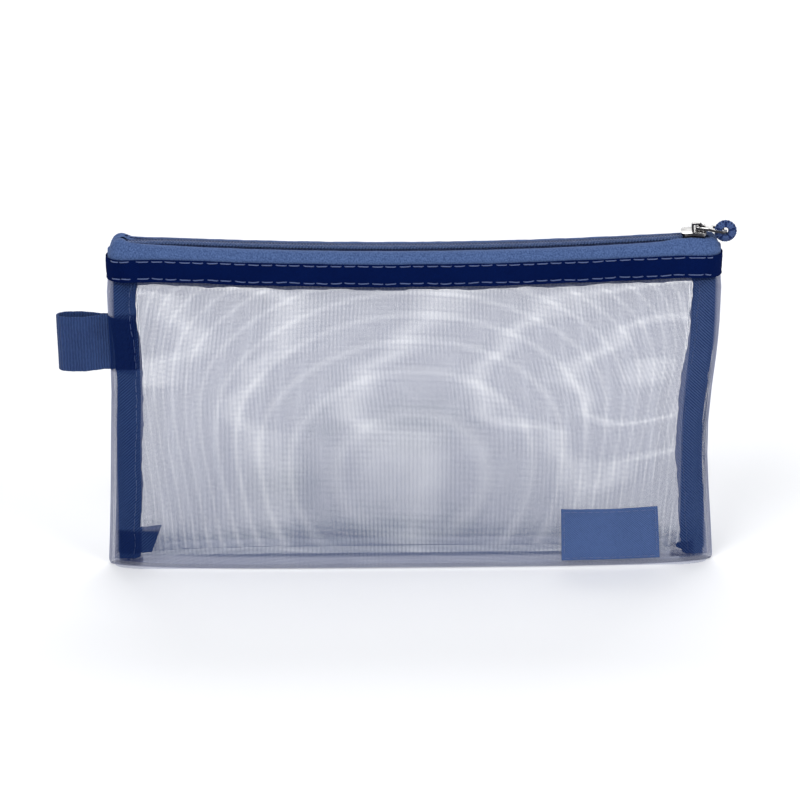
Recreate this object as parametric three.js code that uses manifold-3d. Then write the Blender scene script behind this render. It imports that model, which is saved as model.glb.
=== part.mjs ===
// Mesh zipper pouch, standing on its folded base with the zipper closed.
// Millimetres, +Z up, +X to the right and -Y to the front; the origin is the middle of the base.
import * as THREE from 'three';
import { mergeVertices } from 'three/addons/utils/BufferGeometryUtils.js';
import Module from 'manifold-3d';

const wasm = await Module();
wasm.setup();

// Pouch body
const pouchWidth = 232;          // side seam to side seam, at the mouth
const zipperHeight = 128.2;      // top face of the zipper tape above the floor, at mid width
const zipperSag = 3.9;           // how far the zipper hangs below a line between its ends
const baseDepth = 19;            // front to back at the base, at mid width
const mouthDepth = 15.0;         // front to back under the zipper, at mid width
const wallBulge = 1.4;           // extra half depth of the walls at half height
const sideWaist = 1.0;           // how far each side edge is drawn in at half height
const baseFlare = 1.2;           // how far each side edge stands out at the base
const baseRoundness = 3.5;       // plan exponent at the base: a lens
const mouthRoundness = 30;       // plan exponent at the mouth: nearly a box
const baseEdgeRadius = 2.5;      // rounding from the walls into the flat base
const meshThickness = 0.6;

// Openings that stand for the open mesh: a plain grid in the front wall and one in the back wall
const openingColumns = 12;
const openingRows = 5;
const openingBar = 3;            // width of the bars between the openings
const openingsTop = 0.88;        // share of the wall's height that the openings reach

// Zipper tapes
const tapeThickness = 0.5;
const tapeFlatHalfWidth = 5.5;   // level part of each tape beside the chain
const tapeEdgeHalfGap = 1.6;     // from the middle of the chain to the inner edge of a tape
const tapeUnderBand = 4.2;       // how far the tape runs down under the band
const shoulderDrop = 3.6;        // from the level part of the tape to the top of the band
const shoulderDropAtEnds = 2.6;  // extra drop where the tape turns upright at the side seams
const zipperCornerRadius = 5.2;  // rounding of the folded tape ends
const zipperCornerInset = 0.4;   // from the side seam to the end of that rounding
const leastShoulder = 0.8;       // depth of the tape's shoulder where the mouth closes at the seams

// Bands, facings and patches
const layerGap = 0.3;
const bandHeight = 8.8;
const bandThickness = 0.5;
const facingThickness = 0.4;
const facingBelowBand = 2.0;     // strip of the facing that shows under the band
const meshBelowBandTop = 1.0;    // the mesh ends this far under the top of the band
const labelWidth = 38;
const labelHeight = 21.5;
const labelFromSide = 39.4;      // from the side seam to the middle of the label
const labelBottom = 3.4;
const labelThickness = 0.45;

// Zipper chain
const chainHalfWidth = 2.8;
const coilHeight = 1.3;
const toothPitch = 1.6;
const toothHeadWidth = 0.66;
const toothNeckWidth = 0.44;
const toothReach = 0.7;          // how far the heads pass the middle of the chain
const chainFromSide = 5;         // from the left seam to the end of the chain

// Side seams
const seamAllowance = 10.6;
const bindingWidth = 9.6;
const bindingThickness = 0.5;
const bindingInset = 2.5;        // from the side edge to the outer edge of the binding
const bindingBottom = 2.6;
const bindingBelowBandTop = 2.0;

// Webbing loop
const webbingWidth = 22;
const webbingThickness = 0.9;
const webbingCentreZ = 91.5;
const webbingLoopReach = 18.8;   // from the side edge to the end of the loop
const webbingEyeHalfGap = 2.7;
const webbingSewnLength = 9;     // length inside the side seam

// Slider, tab and cord
const sliderFromSide = 10;       // from the right seam to the middle of the closed slider
const sliderLength = 9.4;
const sliderFrontWidth = 8.6;
const sliderRearWidth = 7.8;
const sliderPlate = 0.95;
const sliderClearance = 0.3;
const flangeThickness = 0.8;
const wedgeHalfWidth = 1.2;
const wedgeStart = 0.6;          // point of the wedge ahead of the middle of the slider
const bailX = 1.3;               // middle of the bail ahead of the middle of the slider
const bailWindowLength = 2.4;
const bailWindowHeight = 1.7;
const bailBar = 0.8;
const bailWidth = 1.6;
const tabThickness = 1.0;
const tabRootWidth = 5.0;
const tabLength = 11.5;          // bail pin line to the far edge
const tabEyeWidth = 5.9;
const tabRim = 1.0;
const tabEyeLength = 4.4;
const tabRestTilt = 12.5;         // degrees below the line of the zipper
const cordDiameter = 3.2;
const cordRingRadius = 2.7;

// Values worked out from the sizes above
const halfWidth = pouchWidth / 2;
const cornerStart = halfWidth - zipperCornerInset - zipperCornerRadius;
const zipperRadius = (cornerStart ** 2 + zipperSag ** 2) / (2 * zipperSag);
const zipperCentreZ = zipperHeight + zipperRadius;
const sliderX = halfWidth - sliderFromSide;
const labelCentreX = halfWidth - labelFromSide;
const chainLeftEnd = chainFromSide - halfWidth;
const chainRightEnd = sliderX + wedgeStart - sliderClearance;
const coilBottom = layerGap;
const coilTop = coilBottom + coilHeight;
const finHalfThickness = meshThickness + 0.1;
const pinchHalfThickness = webbingThickness + layerGap / 2;
const bindingInnerHalf = Math.max(finHalfThickness, pinchHalfThickness) + layerGap;
const slotHalfThickness = bindingInnerHalf - 0.05;

const colours = {
  mesh: 0xbcc0ce, tape: 0x506797, coil: 0x1a2c62, band: 0x0a1a48, facing: 0x202c58,
  binding: 0x32477c, webbing: 0x2c4071, label: 0x455b8d, metal: 0xc9cacc, cord: 0x23396a,
};

// Geometry helpers

function toGeometry(vertices, triangles) {
  const geometry = new THREE.BufferGeometry();
  geometry.setAttribute('position', new THREE.Float32BufferAttribute(vertices.flat(), 3));
  geometry.setIndex(triangles.flat());
  return geometry;
}

function toSolid(geometry) {
  const bare = geometry.clone();
  bare.deleteAttribute('normal');
  bare.deleteAttribute('uv');
  const merged = mergeVertices(bare, 1e-4);
  return new wasm.Manifold(new wasm.Mesh({
    numProp: 3,
    vertProperties: Float32Array.from(merged.attributes.position.array),
    triVerts: Uint32Array.from(merged.index.array),
  }));
}

function fromSolid(solid) {
  const mesh = solid.getMesh();
  const geometry = new THREE.BufferGeometry();
  geometry.setAttribute('position', new THREE.BufferAttribute(mesh.vertProperties, 3));
  geometry.setIndex(new THREE.BufferAttribute(mesh.triVerts, 1));
  return geometry;
}

// A plan outline extruded upwards between two heights.
function extrudeUp(outline, low, high, holes = []) {
  const shape = new THREE.Shape(outline.map(([x, y]) => new THREE.Vector2(x, y)));
  for (const hole of holes) shape.holes.push(new THREE.Path(hole.map(([x, y]) => new THREE.Vector2(x, y))));
  const geometry = new THREE.ExtrudeGeometry(shape, { depth: high - low, bevelEnabled: false });
  return geometry.translate(0, 0, low);
}

// A side outline of x and z points extruded across y between two planes.
function extrudeAcross(outline, front, back) {
  return extrudeUp(outline, -back, -front).rotateX(Math.PI / 2);
}

function box(x0, x1, y0, y1, z0, z1) {
  const geometry = new THREE.BoxGeometry(x1 - x0, y1 - y0, z1 - z0);
  return geometry.translate((x0 + x1) / 2, (y0 + y1) / 2, (z0 + z1) / 2);
}

function roundedRectangle(x0, x1, y0, y1, radius, steps = 4) {
  const corners = [[x1 - radius, y1 - radius, 0], [x0 + radius, y1 - radius, 90],
    [x0 + radius, y0 + radius, 180], [x1 - radius, y0 + radius, 270]];
  return corners.flatMap(([cx, cy, start]) => Array.from({ length: steps + 1 }, (_, k) => {
    const angle = THREE.MathUtils.degToRad(start + (90 * k) / steps);
    return [cx + radius * Math.cos(angle), cy + radius * Math.sin(angle)];
  }));
}

// A thick sheet between two grids of points; outer[i][j] and inner[i][j] face each other.
function sheetBetween(outer, inner) {
  const rows = outer.length;
  const columns = outer[0].length;
  const vertices = [...outer.flat(), ...inner.flat()];
  const at = (side, i, j) => side * rows * columns + i * columns + j;
  const triangles = [];
  const quad = (a, b, c, d) => triangles.push([a, b, c], [a, c, d]);
  for (let i = 0; i < rows - 1; i++) {
    for (let j = 0; j < columns - 1; j++) {
      quad(at(0, i, j), at(0, i + 1, j), at(0, i + 1, j + 1), at(0, i, j + 1));
      quad(at(1, i, j), at(1, i, j + 1), at(1, i + 1, j + 1), at(1, i + 1, j));
    }
  }
  for (let i = 0; i < rows - 1; i++) {
    quad(at(0, i, 0), at(1, i, 0), at(1, i + 1, 0), at(0, i + 1, 0));
    quad(at(0, i, columns - 1), at(0, i + 1, columns - 1), at(1, i + 1, columns - 1), at(1, i, columns - 1));
  }
  for (let j = 0; j < columns - 1; j++) {
    quad(at(0, 0, j), at(0, 0, j + 1), at(1, 0, j + 1), at(1, 0, j));
    quad(at(0, rows - 1, j), at(1, rows - 1, j), at(1, rows - 1, j + 1), at(0, rows - 1, j + 1));
  }
  return toGeometry(vertices, triangles);
}

// A plan figure, given as triangles and the outline round them, raised between two heights.
function prism(points, planTriangles, outline, low, high) {
  const count = points.length;
  const vertices = [...points.map(([x, y]) => [x, y, low]), ...points.map(([x, y]) => [x, y, high])];
  const triangles = planTriangles.flatMap(([a, b, c]) => [[a, c, b], [a + count, b + count, c + count]]);
  outline.forEach((a, k) => {
    const b = outline[(k + 1) % outline.length];
    triangles.push([a, b, b + count], [a, b + count, a + count]);
  });
  return toGeometry(vertices, triangles);
}

// The same piece on the back wall: a mirror image with its faces turned round again.
function mirrored(geometry) {
  const copy = geometry.clone().scale(1, -1, 1);
  const index = copy.index.array;
  for (let k = 0; k < index.length; k += 3) [index[k], index[k + 1]] = [index[k + 1], index[k]];
  return copy;
}

// Shape of the pouch

const mix = (a, b, t) => a + (b - a) * t;

// Top of the level part of the tape: an arc that rounds down at the folded ends.
function zipperLine(x) {
  return zipperCentreZ - Math.sqrt(zipperRadius ** 2 - x * x);
}

function endDrop(x) {
  const past = Math.min(Math.max(Math.abs(x) - cornerStart, 0), zipperCornerRadius * 0.99);
  return zipperCornerRadius - Math.sqrt(zipperCornerRadius ** 2 - past ** 2);
}

function bandTop(x) {
  const atEnd = Math.min(Math.abs(x) / halfWidth, 1) ** 10;
  return zipperLine(x) - shoulderDrop - shoulderDropAtEnds * atEnd;
}

// Plan of the wall at a share v of its height: half width, half depth and roundness.
function planSizes(v) {
  return {
    a: halfWidth + baseFlare * (1 - v) ** 2 - sideWaist * 4 * v * (1 - v),
    d: mix(baseDepth, mouthDepth, v) / 2 + wallBulge * 4 * v * (1 - v),
    p: mix(baseRoundness, mouthRoundness, v ** 3),
  };
}

// A point of the front wall. t runs from -1 at the left seam to 1 at the right seam, evenly in x up to
// tipStart and then evenly in depth, and offset is the distance outward from the mesh's outer face.
const tipStart = 0.9;
function planPoint(t, v, offset) {
  const { a, d, p } = planSizes(v);
  const share = Math.abs(t);
  const side = t < 0 ? -1 : 1;
  let s = share;
  if (share > tipStart) {
    const depthAtJoin = Math.sqrt(1 - tipStart ** p);
    const depthShare = depthAtJoin * (1 - share) / (1 - tipStart);
    s = (1 - depthShare ** 2) ** (1 / p);
  }
  const y = d * Math.sqrt(Math.max(1 - s ** p, 0));
  const normalX = (p / a) * s ** (p - 1);
  const normalY = (2 * y) / d ** 2;
  const size = Math.hypot(normalX, normalY);
  return [side * (a * s + (offset * normalX) / size), -(y + (offset * normalY) / size)];
}

function wallPoint(t, z, offset) {
  const xAtTop = planPoint(t, 1, 0)[0];
  const [x, y] = planPoint(t, Math.min(z / bandTop(xAtTop), 1), offset);
  return [x, y, z];
}

function bandTopAt(t) {
  return bandTop(planPoint(t, 1, 0)[0]);
}

// Stations from seam to seam, evenly spaced along the walls and closer together round each tip. Every layer
// uses the same ones, so that their facets lie on each other, and stops at its own distance from the seams.
const wallSteps = 12;
const tipSteps = 10;
const halfStations = [
  ...Array.from({ length: wallSteps }, (_, k) => (tipStart * (k + 1)) / wallSteps),
  ...Array.from({ length: tipSteps }, (_, k) => tipStart + (1 - tipStart) * ((k + 1) / tipSteps) ** 1.5),
];
const ringStations = [...halfStations.map((t) => -t).reverse(), 0, ...halfStations];
const stationsUpTo = (limit) => [-limit, ...ringStations.filter((t) => Math.abs(t) < limit - 0.002), limit];
const bandEnd = 0.997;
const tapeEnd = 0.99;
const facingEnd = 0.96;

// The mesh bag: rings of the outer face up to the rim and of the inner face back down to the floor.
function bagRing(level, offset, lift) {
  const front = ringStations.map((t) => level(t, offset, lift));
  const back = ringStations.slice(1, -1).reverse().map((t) => {
    const [x, y, z] = level(t, offset, lift);
    return [x, -y, z];
  });
  return [...front, ...back];
}

function wallLevel(v) {
  return (t, offset) => {
    const rim = bandTopAt(t) - meshBelowBandTop;
    return wallPoint(t, mix(baseEdgeRadius, rim, v), offset);
  };
}

// Rounding from the wall into the base: angle 0 is the wall and 90 the floor.
function baseLevel(angle) {
  return (t, offset, lift) => {
    const turn = THREE.MathUtils.degToRad(angle);
    const inward = baseEdgeRadius * (1 - Math.cos(turn));
    const [x, y] = planPoint(t, 0, offset);
    const depth = baseDepth / 2;
    const z = baseEdgeRadius * (1 - Math.sin(turn));
    return [x * (1 - inward / 2 / halfWidth), y * (1 - inward / depth), Math.max(z, lift)];
  };
}

function meshBag() {
  const rowShares = Array.from({ length: openingRows + 1 }, (_, k) => (openingsTop * k) / openingRows);
  const wallShares = [...rowShares, 1];
  const baseAngles = [90, 60, 30];
  const outer = [...baseAngles.map(baseLevel), ...wallShares.map(wallLevel)];
  const inner = [...wallShares.slice().reverse().map(wallLevel), ...[45, 90].map(baseLevel)];
  const rings = [
    ...outer.map((level) => bagRing(level, 0, 0)),
    ...inner.map((level) => bagRing(level, -meshThickness, meshThickness)),
  ];
  const count = rings[0].length;
  const vertices = rings.flat();
  const triangles = [];
  const at = (ring, k) => ring * count + (k % count);
  for (let ring = 0; ring < rings.length - 1; ring++) {
    for (let k = 0; k < count; k++) {
      triangles.push([at(ring, k), at(ring, k + 1), at(ring + 1, k + 1)]);
      triangles.push([at(ring, k), at(ring + 1, k + 1), at(ring + 1, k)]);
    }
  }
  // The flat floor, outside and inside, in strips from the front edge to the back edge.
  const last = ringStations.length - 1;
  for (let k = 0; k < last; k++) {
    const frontA = k;
    const frontB = k + 1;
    const backA = (count - k) % count;
    const backB = count - k - 1;
    const top = rings.length - 1;
    if (k > 0) {
      triangles.push([at(0, frontA), at(0, backA), at(0, frontB)]);
      triangles.push([at(top, frontA), at(top, frontB), at(top, backA)]);
    }
    if (k < last - 1) {
      triangles.push([at(0, frontB), at(0, backA), at(0, backB)]);
      triangles.push([at(top, frontB), at(top, backB), at(top, backA)]);
    }
  }
  return toGeometry(vertices, triangles);
}

// Blocks that cut the openings of both walls. A bar is left along every second station and every level.
function meshOpenings() {
  const columnShare = (2 * tipStart) / openingColumns;
  const near = bindingInnerHalf + bindingThickness;
  const blocks = [];
  for (let column = 0; column < openingColumns; column++) {
    const start = column * columnShare - tipStart;
    const rim = bandTopAt(start + columnShare / 2) - meshBelowBandTop;
    const rowHeight = (openingsTop * (rim - baseEdgeRadius)) / openingRows;
    const left = start * halfWidth + openingBar / 2;
    const right = (start + columnShare) * halfWidth - openingBar / 2;
    for (let row = 0; row < openingRows; row++) {
      const low = baseEdgeRadius + row * rowHeight + openingBar / 2;
      const high = low + rowHeight - openingBar;
      blocks.push(box(left, right, -baseDepth, -near, low, high));
      blocks.push(box(left, right, near, baseDepth, low, high));
    }
  }
  return blocks;
}

// x of the side edge of the bag at a height, on the right.
function sideEdge(z) {
  return planPoint(1, Math.min(z / bandTop(halfWidth), 1), 0)[0];
}

// The seam allowance: both layers of mesh turned inwards, standing as a fin inside each side.
function seamFin(side) {
  const top = bandTop(halfWidth - seamAllowance) - meshBelowBandTop - 1;
  const heights = [meshThickness / 2, 30, 60, 90, top];
  const outerEdge = heights.map((z) => [side * (sideEdge(z) - meshThickness / 2), z]);
  const innerEdge = heights.slice().reverse().map((z) => [side * (sideEdge(z) - seamAllowance), z]);
  const outline = [...outerEdge, ...innerEdge];
  if (side > 0) outline.reverse();
  return extrudeAcross(outline, -finHalfThickness, finHalfThickness);
}

function meshBody() {
  const bag = toSolid(meshBag());
  const fins = toSolid(seamFin(-1)).add(toSolid(seamFin(1)));
  const slotLow = webbingCentreZ - webbingWidth / 2 - layerGap;
  const slotHigh = webbingCentreZ + webbingWidth / 2 + layerGap;
  const slotEnd = -halfWidth + webbingSewnLength + 4;
  const slot = box(-halfWidth - 4, slotEnd, -slotHalfThickness, slotHalfThickness, slotLow, slotHigh);
  const walls = meshOpenings().reduce((rest, block) => rest.subtract(toSolid(block)), bag);
  return fromSolid(walls.add(fins).subtract(toSolid(slot)));
}

// Layers that follow the wall

function wallStrip(low, high, offset, thickness, tList, shares) {
  const grid = (distance) => tList.map((t) => shares.map((share) => (
    wallPoint(t, mix(low(t), high(t), share), distance))));
  return sheetBetween(grid(offset + thickness), grid(offset));
}

function topBand() {
  const offset = layerGap + tapeThickness + layerGap;
  return wallStrip((t) => bandTopAt(t) - bandHeight, bandTopAt, offset, bandThickness,
    stationsUpTo(bandEnd), [0, 0.5, 1]);
}

function innerFacing() {
  const offset = -(meshThickness + layerGap + facingThickness);
  return wallStrip((t) => bandTopAt(t) - bandHeight - facingBelowBand, (t) => bandTopAt(t) - meshBelowBandTop,
    offset, facingThickness, stationsUpTo(facingEnd), [0, 0.5, 1]);
}

function labelPatch() {
  const centre = labelCentreX / halfWidth;
  const half = labelWidth / 2 / halfWidth;
  const tList = [0, 1, 2, 3, 4, 5, 6].map((k) => mix(centre - half, centre + half, k / 6));
  return wallStrip(() => labelBottom, () => labelBottom + labelHeight, layerGap, labelThickness,
    tList, [0, 0.25, 0.5, 0.75, 1]);
}

// One zipper tape: level beside the chain, over a shoulder, and down under the band.
function zipperTape() {
  const tList = stationsUpTo(tapeEnd);
  const section = (t, offset) => {
    const top = bandTopAt(t);
    const [x, y] = wallPoint(t, top, layerGap + offset);
    const roof = zipperLine(x) - endDrop(x) - tapeThickness + offset;
    const depth = -y;
    const flat = Math.max(Math.min(tapeFlatHalfWidth, depth - leastShoulder), 2 * layerGap);
    const inner = Math.max(Math.min(tapeEdgeHalfGap, flat - layerGap), layerGap / 2);
    const points = [[x, -inner, roof], [x, -flat, roof]];
    for (const angle of [60, 35, 15]) {
      const turn = THREE.MathUtils.degToRad(angle);
      points.push([x, -(flat + (depth - flat) * Math.cos(turn)), mix(top, roof, Math.sin(turn))]);
    }
    for (const share of [0, 1]) points.push(wallPoint(t, top - tapeUnderBand * share, layerGap + offset));
    return points.reverse();
  };
  return sheetBetween(tList.map((t) => section(t, tapeThickness)), tList.map((t) => section(t, 0)));
}

// Zipper chain: one comb of interlocking elements on the edge of each tape, with heads wider than their
// necks. It is drawn straight, in cells that share their corners, and then bent onto the zipper's arc.
const teethPerCell = 2;
function zipperCoil(phase) {
  const points = [];
  const triangles = [];
  const add = (x, y) => points.push([x, y]) - 1;
  const fan = (corners) => {
    for (let k = 1; k < corners.length - 1; k++) triangles.push([corners[0], corners[k], corners[k + 1]]);
  };
  const root = -tapeEdgeHalfGap;
  const railEdge = [add(chainLeftEnd, -chainHalfWidth)];
  const toothEdge = [add(chainLeftEnd, root)];
  let cellRoots = [toothEdge[0]];
  const closeCell = (x, rootPoint) => {
    const corner = add(x, -chainHalfWidth);
    fan([railEdge[railEdge.length - 1], corner, rootPoint, ...cellRoots.reverse()]);
    railEdge.push(corner);
    cellRoots = [rootPoint];
  };
  const count = Math.floor((chainRightEnd - chainLeftEnd - toothPitch) / toothPitch);
  for (let k = 0; k < count; k++) {
    const x = chainLeftEnd + (k + 0.5 + phase) * toothPitch;
    const left = add(x - toothNeckWidth / 2, root);
    const right = add(x + toothNeckWidth / 2, root);
    const headRight = add(x + toothHeadWidth / 2, toothReach);
    const headLeft = add(x - toothHeadWidth / 2, toothReach);
    if (k > 0 && k % teethPerCell === 0) closeCell(x - toothNeckWidth / 2, left);
    else cellRoots.push(left);
    cellRoots.push(right);
    fan([left, right, headRight, headLeft]);
    toothEdge.push(left, headLeft, headRight, right);
  }
  toothEdge.push(add(chainRightEnd, root));
  closeCell(chainRightEnd, toothEdge[toothEdge.length - 1]);
  return bentOntoZipper(prism(points, triangles, [...railEdge, ...toothEdge.reverse()], coilBottom, coilTop));
}

function bentOntoZipper(geometry) {
  const position = geometry.attributes.position;
  for (let k = 0; k < position.count; k++) {
    const angle = position.getX(k) / zipperRadius;
    const radius = zipperRadius - position.getZ(k);
    position.setX(k, radius * Math.sin(angle));
    position.setZ(k, zipperCentreZ - radius * Math.cos(angle));
  }
  return geometry;
}

// The binding: twill tape folded round the seam fin, with its end folded inwards at the bottom.
function seamBinding(side, tail) {
  const top = bandTop(halfWidth - bindingInset) - bindingBelowBandTop;
  const heights = [bindingBottom, 30, 60, 90, top];
  const edge = (distance) => heights.map((z) => [side * (sideEdge(z) - distance), z]);
  const outline = (outerDistance, innerDistance) => {
    const points = [...edge(outerDistance), ...edge(innerDistance).reverse()];
    if (side > 0) points.reverse();
    return points;
  };
  const outer = bindingInset;
  const inner = bindingInset + bindingWidth;
  const leg = outline(outer, inner);
  const fold = outline(inner - bindingThickness, inner);
  const half = bindingInnerHalf + bindingThickness;
  const tailPoints = tail.map(([distance, z]) => [side * (sideEdge(z) - distance), z]);
  if (side > 0) tailPoints.reverse();
  const pieces = [extrudeAcross(leg, -half, -bindingInnerHalf), extrudeAcross(leg, bindingInnerHalf, half),
    extrudeAcross(fold, -half, half), extrudeAcross(tailPoints, -half, -bindingInnerHalf)];
  return fromSolid(pieces.map(toSolid).reduce((sum, piece) => sum.add(piece)));
}

// Folded tails, as distances from the side edge and heights.
const leftTail = [[11, 5.6], [11, 15], [18.6, 15.6], [16.4, 6]];
const rightTail = [[11, 3.4], [11, 8.8], [14.6, 6.6]];

// Webbing loop: both plies leave the seam together and open into an eye.
const webbingPivotX = -halfWidth + 0.5;
function webbingLoop() {
  const farX = -halfWidth - webbingLoopReach;
  const ring = (halfGap, endX, rootHalf) => {
    const points = [[webbingPivotX, rootHalf], [-halfWidth - 1.2, rootHalf]];
    points.push([-halfWidth - 4.6, mix(rootHalf, halfGap, 0.62)], [-halfWidth - 8, halfGap]);
    const centre = endX + halfGap;
    for (let k = 0; k <= 6; k++) {
      const angle = (Math.PI / 2) * (k / 6);
      points.push([centre - halfGap * Math.sin(angle), halfGap * Math.cos(angle)]);
    }
    return points;
  };
  const outer = ring(webbingEyeHalfGap + webbingThickness, farX, pinchHalfThickness);
  const inner = ring(webbingEyeHalfGap, farX + webbingThickness, layerGap / 2);
  const flip = (points) => points.map(([x, y]) => [x, -y]);
  const outside = [...outer, ...flip(outer).reverse().slice(1)];
  const outline = [...outside, ...flip(inner), ...inner.slice().reverse().slice(1)];
  return extrudeUp(outline, webbingCentreZ - webbingWidth / 2, webbingCentreZ + webbingWidth / 2);
}

function webbingTail() {
  const start = webbingPivotX + pinchHalfThickness + layerGap;
  const end = -halfWidth + webbingSewnLength;
  const split = start + 1.5;
  const outline = [[start, -pinchHalfThickness], [end, -pinchHalfThickness], [end, -layerGap / 2],
    [split, -layerGap / 2], [split, layerGap / 2], [end, layerGap / 2], [end, pinchHalfThickness],
    [start, pinchHalfThickness]];
  return extrudeUp(outline, webbingCentreZ - webbingWidth / 2, webbingCentreZ + webbingWidth / 2);
}

// Slider, in its own frame: x along the zipper towards the closed end, z above the tape's top face.
const channelBottom = -tapeThickness - sliderClearance;
const sliderBottom = channelBottom - sliderPlate;
const channelTop = coilTop + sliderClearance;
const sliderTop = channelTop + sliderPlate;
const bailPinZ = sliderTop + bailWindowHeight / 2 + sliderClearance;

function taperedOutline(halfRear, halfFront, rear, front, corner) {
  return [[rear + corner, -halfRear], [0, -halfRear], [front * 0.45, -halfFront],
    [front - corner, -halfFront], [front, -halfFront + corner],
    [front, halfFront - corner], [front - corner, halfFront],
    [front * 0.45, halfFront], [0, halfRear], [rear + corner, halfRear], [rear, halfRear - corner],
    [rear, -halfRear + corner]];
}

function sliderBody() {
  const half = sliderLength / 2;
  const outside = taperedOutline(sliderRearWidth / 2, sliderFrontWidth / 2, -half, half, 1.1);
  const channel = taperedOutline(sliderRearWidth / 2 - flangeThickness,
    sliderFrontWidth / 2 - flangeThickness, -half - 1, half + 1, 0.2);
  const wedge = [[wedgeStart, 0], [half - 1.6, -wedgeHalfWidth], [half - 0.5, -wedgeHalfWidth * 0.8],
    [half - 0.3, 0], [half - 0.5, wedgeHalfWidth * 0.8], [half - 1.6, wedgeHalfWidth]];
  const plates = toSolid(extrudeUp(outside, sliderBottom, sliderTop));
  const chainWay = toSolid(extrudeUp(channel, channelBottom, channelTop, [wedge]));
  const slotTop = sliderClearance;
  const reach = sliderFrontWidth;
  const tapeWay = [-1, 1].map((side) => toSolid(box(-half - 1, half + 1, side > 0 ? chainHalfWidth : -reach,
    side > 0 ? reach : -chainHalfWidth, channelBottom, slotTop)));
  const noseCut = toSolid(extrudeAcross([[half - 2, sliderTop], [half + 0.5, sliderTop - 0.9],
    [half + 0.5, sliderTop + 1], [half - 2, sliderTop + 1]], -reach, reach));
  const bailHalf = bailWindowLength / 2;
  const bailTop = bailPinZ + bailWindowHeight / 2 + bailBar;
  const bailOutline = roundedRectangle(bailX - bailHalf - bailBar, bailX + bailHalf + bailBar,
    sliderTop - 0.8, bailTop, 0.75);
  const window = roundedRectangle(bailX - bailHalf, bailX + bailHalf, sliderTop - 0.1,
    bailTop - bailBar, 0.35, 3);
  const bail = toSolid(extrudeAcross(bailOutline, -bailWidth / 2, bailWidth / 2));
  const opening = toSolid(extrudeAcross(window, -bailWidth, bailWidth));
  let body = plates.subtract(chainWay).subtract(noseCut);
  for (const way of tapeWay) body = body.subtract(way);
  return fromSolid(body.add(bail.subtract(opening).subtract(chainWay)));
}

// Pull tab, flat in its own frame with the bail pin line as the origin and the eye along +x.
function pullTab() {
  const rootHalf = tabRootWidth / 2;
  const eyeHalf = tabEyeWidth / 2;
  const bar = tabThickness / 2;
  const waist = tabLength - tabEyeLength - tabRim - 0.6;
  const outline = [[-bar, -rootHalf + 0.5], [-bar + 0.3, -rootHalf], [4, -rootHalf],
    [waist - 1, -rootHalf + 0.5], [waist + 0.6, -eyeHalf + 0.3], [waist + 1.8, -eyeHalf],
    [tabLength - 1.8, -eyeHalf],
    [tabLength - 0.5, -eyeHalf + 0.9], [tabLength, -eyeHalf + 2]];
  const outlineBack = outline.map(([x, y]) => [x, -y]).reverse();
  const bailHole = roundedRectangle(bar, bar + 2.7, -bailWidth / 2 - 0.4, bailWidth / 2 + 0.4, 0.3, 2);
  const eyeHole = roundedRectangle(tabLength - tabRim - tabEyeLength, tabLength - tabRim,
    -eyeHalf + tabRim, eyeHalf - tabRim, 0.9, 4);
  return extrudeUp([...outline, ...outlineBack], -tabThickness / 2, tabThickness / 2, [bailHole, eyeHole]);
}

function cordRing() {
  const geometry = new THREE.TorusGeometry(cordRingRadius, cordDiameter / 2, 10, 24);
  return geometry.rotateX(Math.PI / 2);
}

// Assembly

const part = new THREE.Group();

function addPiece(name, geometry, colour, roughness, metalness, parent = part) {
  const material = new THREE.MeshStandardMaterial({ color: colour, roughness, metalness });
  const mesh = new THREE.Mesh(geometry, material);
  mesh.name = name;
  parent.add(mesh);
  return mesh;
}

addPiece('mesh_body', meshBody(), colours.mesh, 0.7, 0);
const layers = [['zipper_tape', zipperTape, colours.tape], ['top_band', topBand, colours.band],
  ['inner_facing', innerFacing, colours.facing]];
for (const [name, make, colour] of layers) {
  addPiece(`front_${name}`, make(), colour, 0.85, 0);
  addPiece(`back_${name}`, mirrored(make()), colour, 0.85, 0);
}
addPiece('front_zipper_coil', zipperCoil(0), colours.coil, 0.45, 0);
addPiece('back_zipper_coil', mirrored(zipperCoil(0.5)), colours.coil, 0.45, 0);
addPiece('left_seam_binding', seamBinding(-1, leftTail), colours.binding, 0.9, 0);
addPiece('right_seam_binding', seamBinding(1, rightTail), colours.binding, 0.9, 0);
addPiece('label_patch', labelPatch(), colours.label, 0.9, 0);
addPiece('webbing_loop', webbingLoop(), colours.webbing, 0.85, 0);
addPiece('webbing_tail', webbingTail(), colours.webbing, 0.85, 0);

// The slider hangs on the arc of the zipper: its group turns about the centre of that arc.
const arcGroup = new THREE.Group();
arcGroup.position.set(0, 0, zipperCentreZ);
arcGroup.rotation.y = -sliderX / zipperRadius;
const sliderGroup = new THREE.Group();
sliderGroup.position.set(0, 0, -zipperRadius);
arcGroup.add(sliderGroup);
part.add(arcGroup);
addPiece('slider_body', sliderBody(), colours.metal, 0.3, 1, sliderGroup);

const tabGroup = new THREE.Group();
tabGroup.position.set(bailX, 0, bailPinZ);
tabGroup.rotation.y = THREE.MathUtils.degToRad(tabRestTilt);
sliderGroup.add(tabGroup);
addPiece('pull_tab', pullTab(), colours.metal, 0.3, 1, tabGroup);
const ring = addPiece('cord_ring', cordRing(), colours.cord, 0.85, 0, tabGroup);
ring.position.x = tabLength - tabRim / 2;

export default part;
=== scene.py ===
from math import copysign, cos, exp, hypot, pi, radians, sin, sqrt

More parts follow.
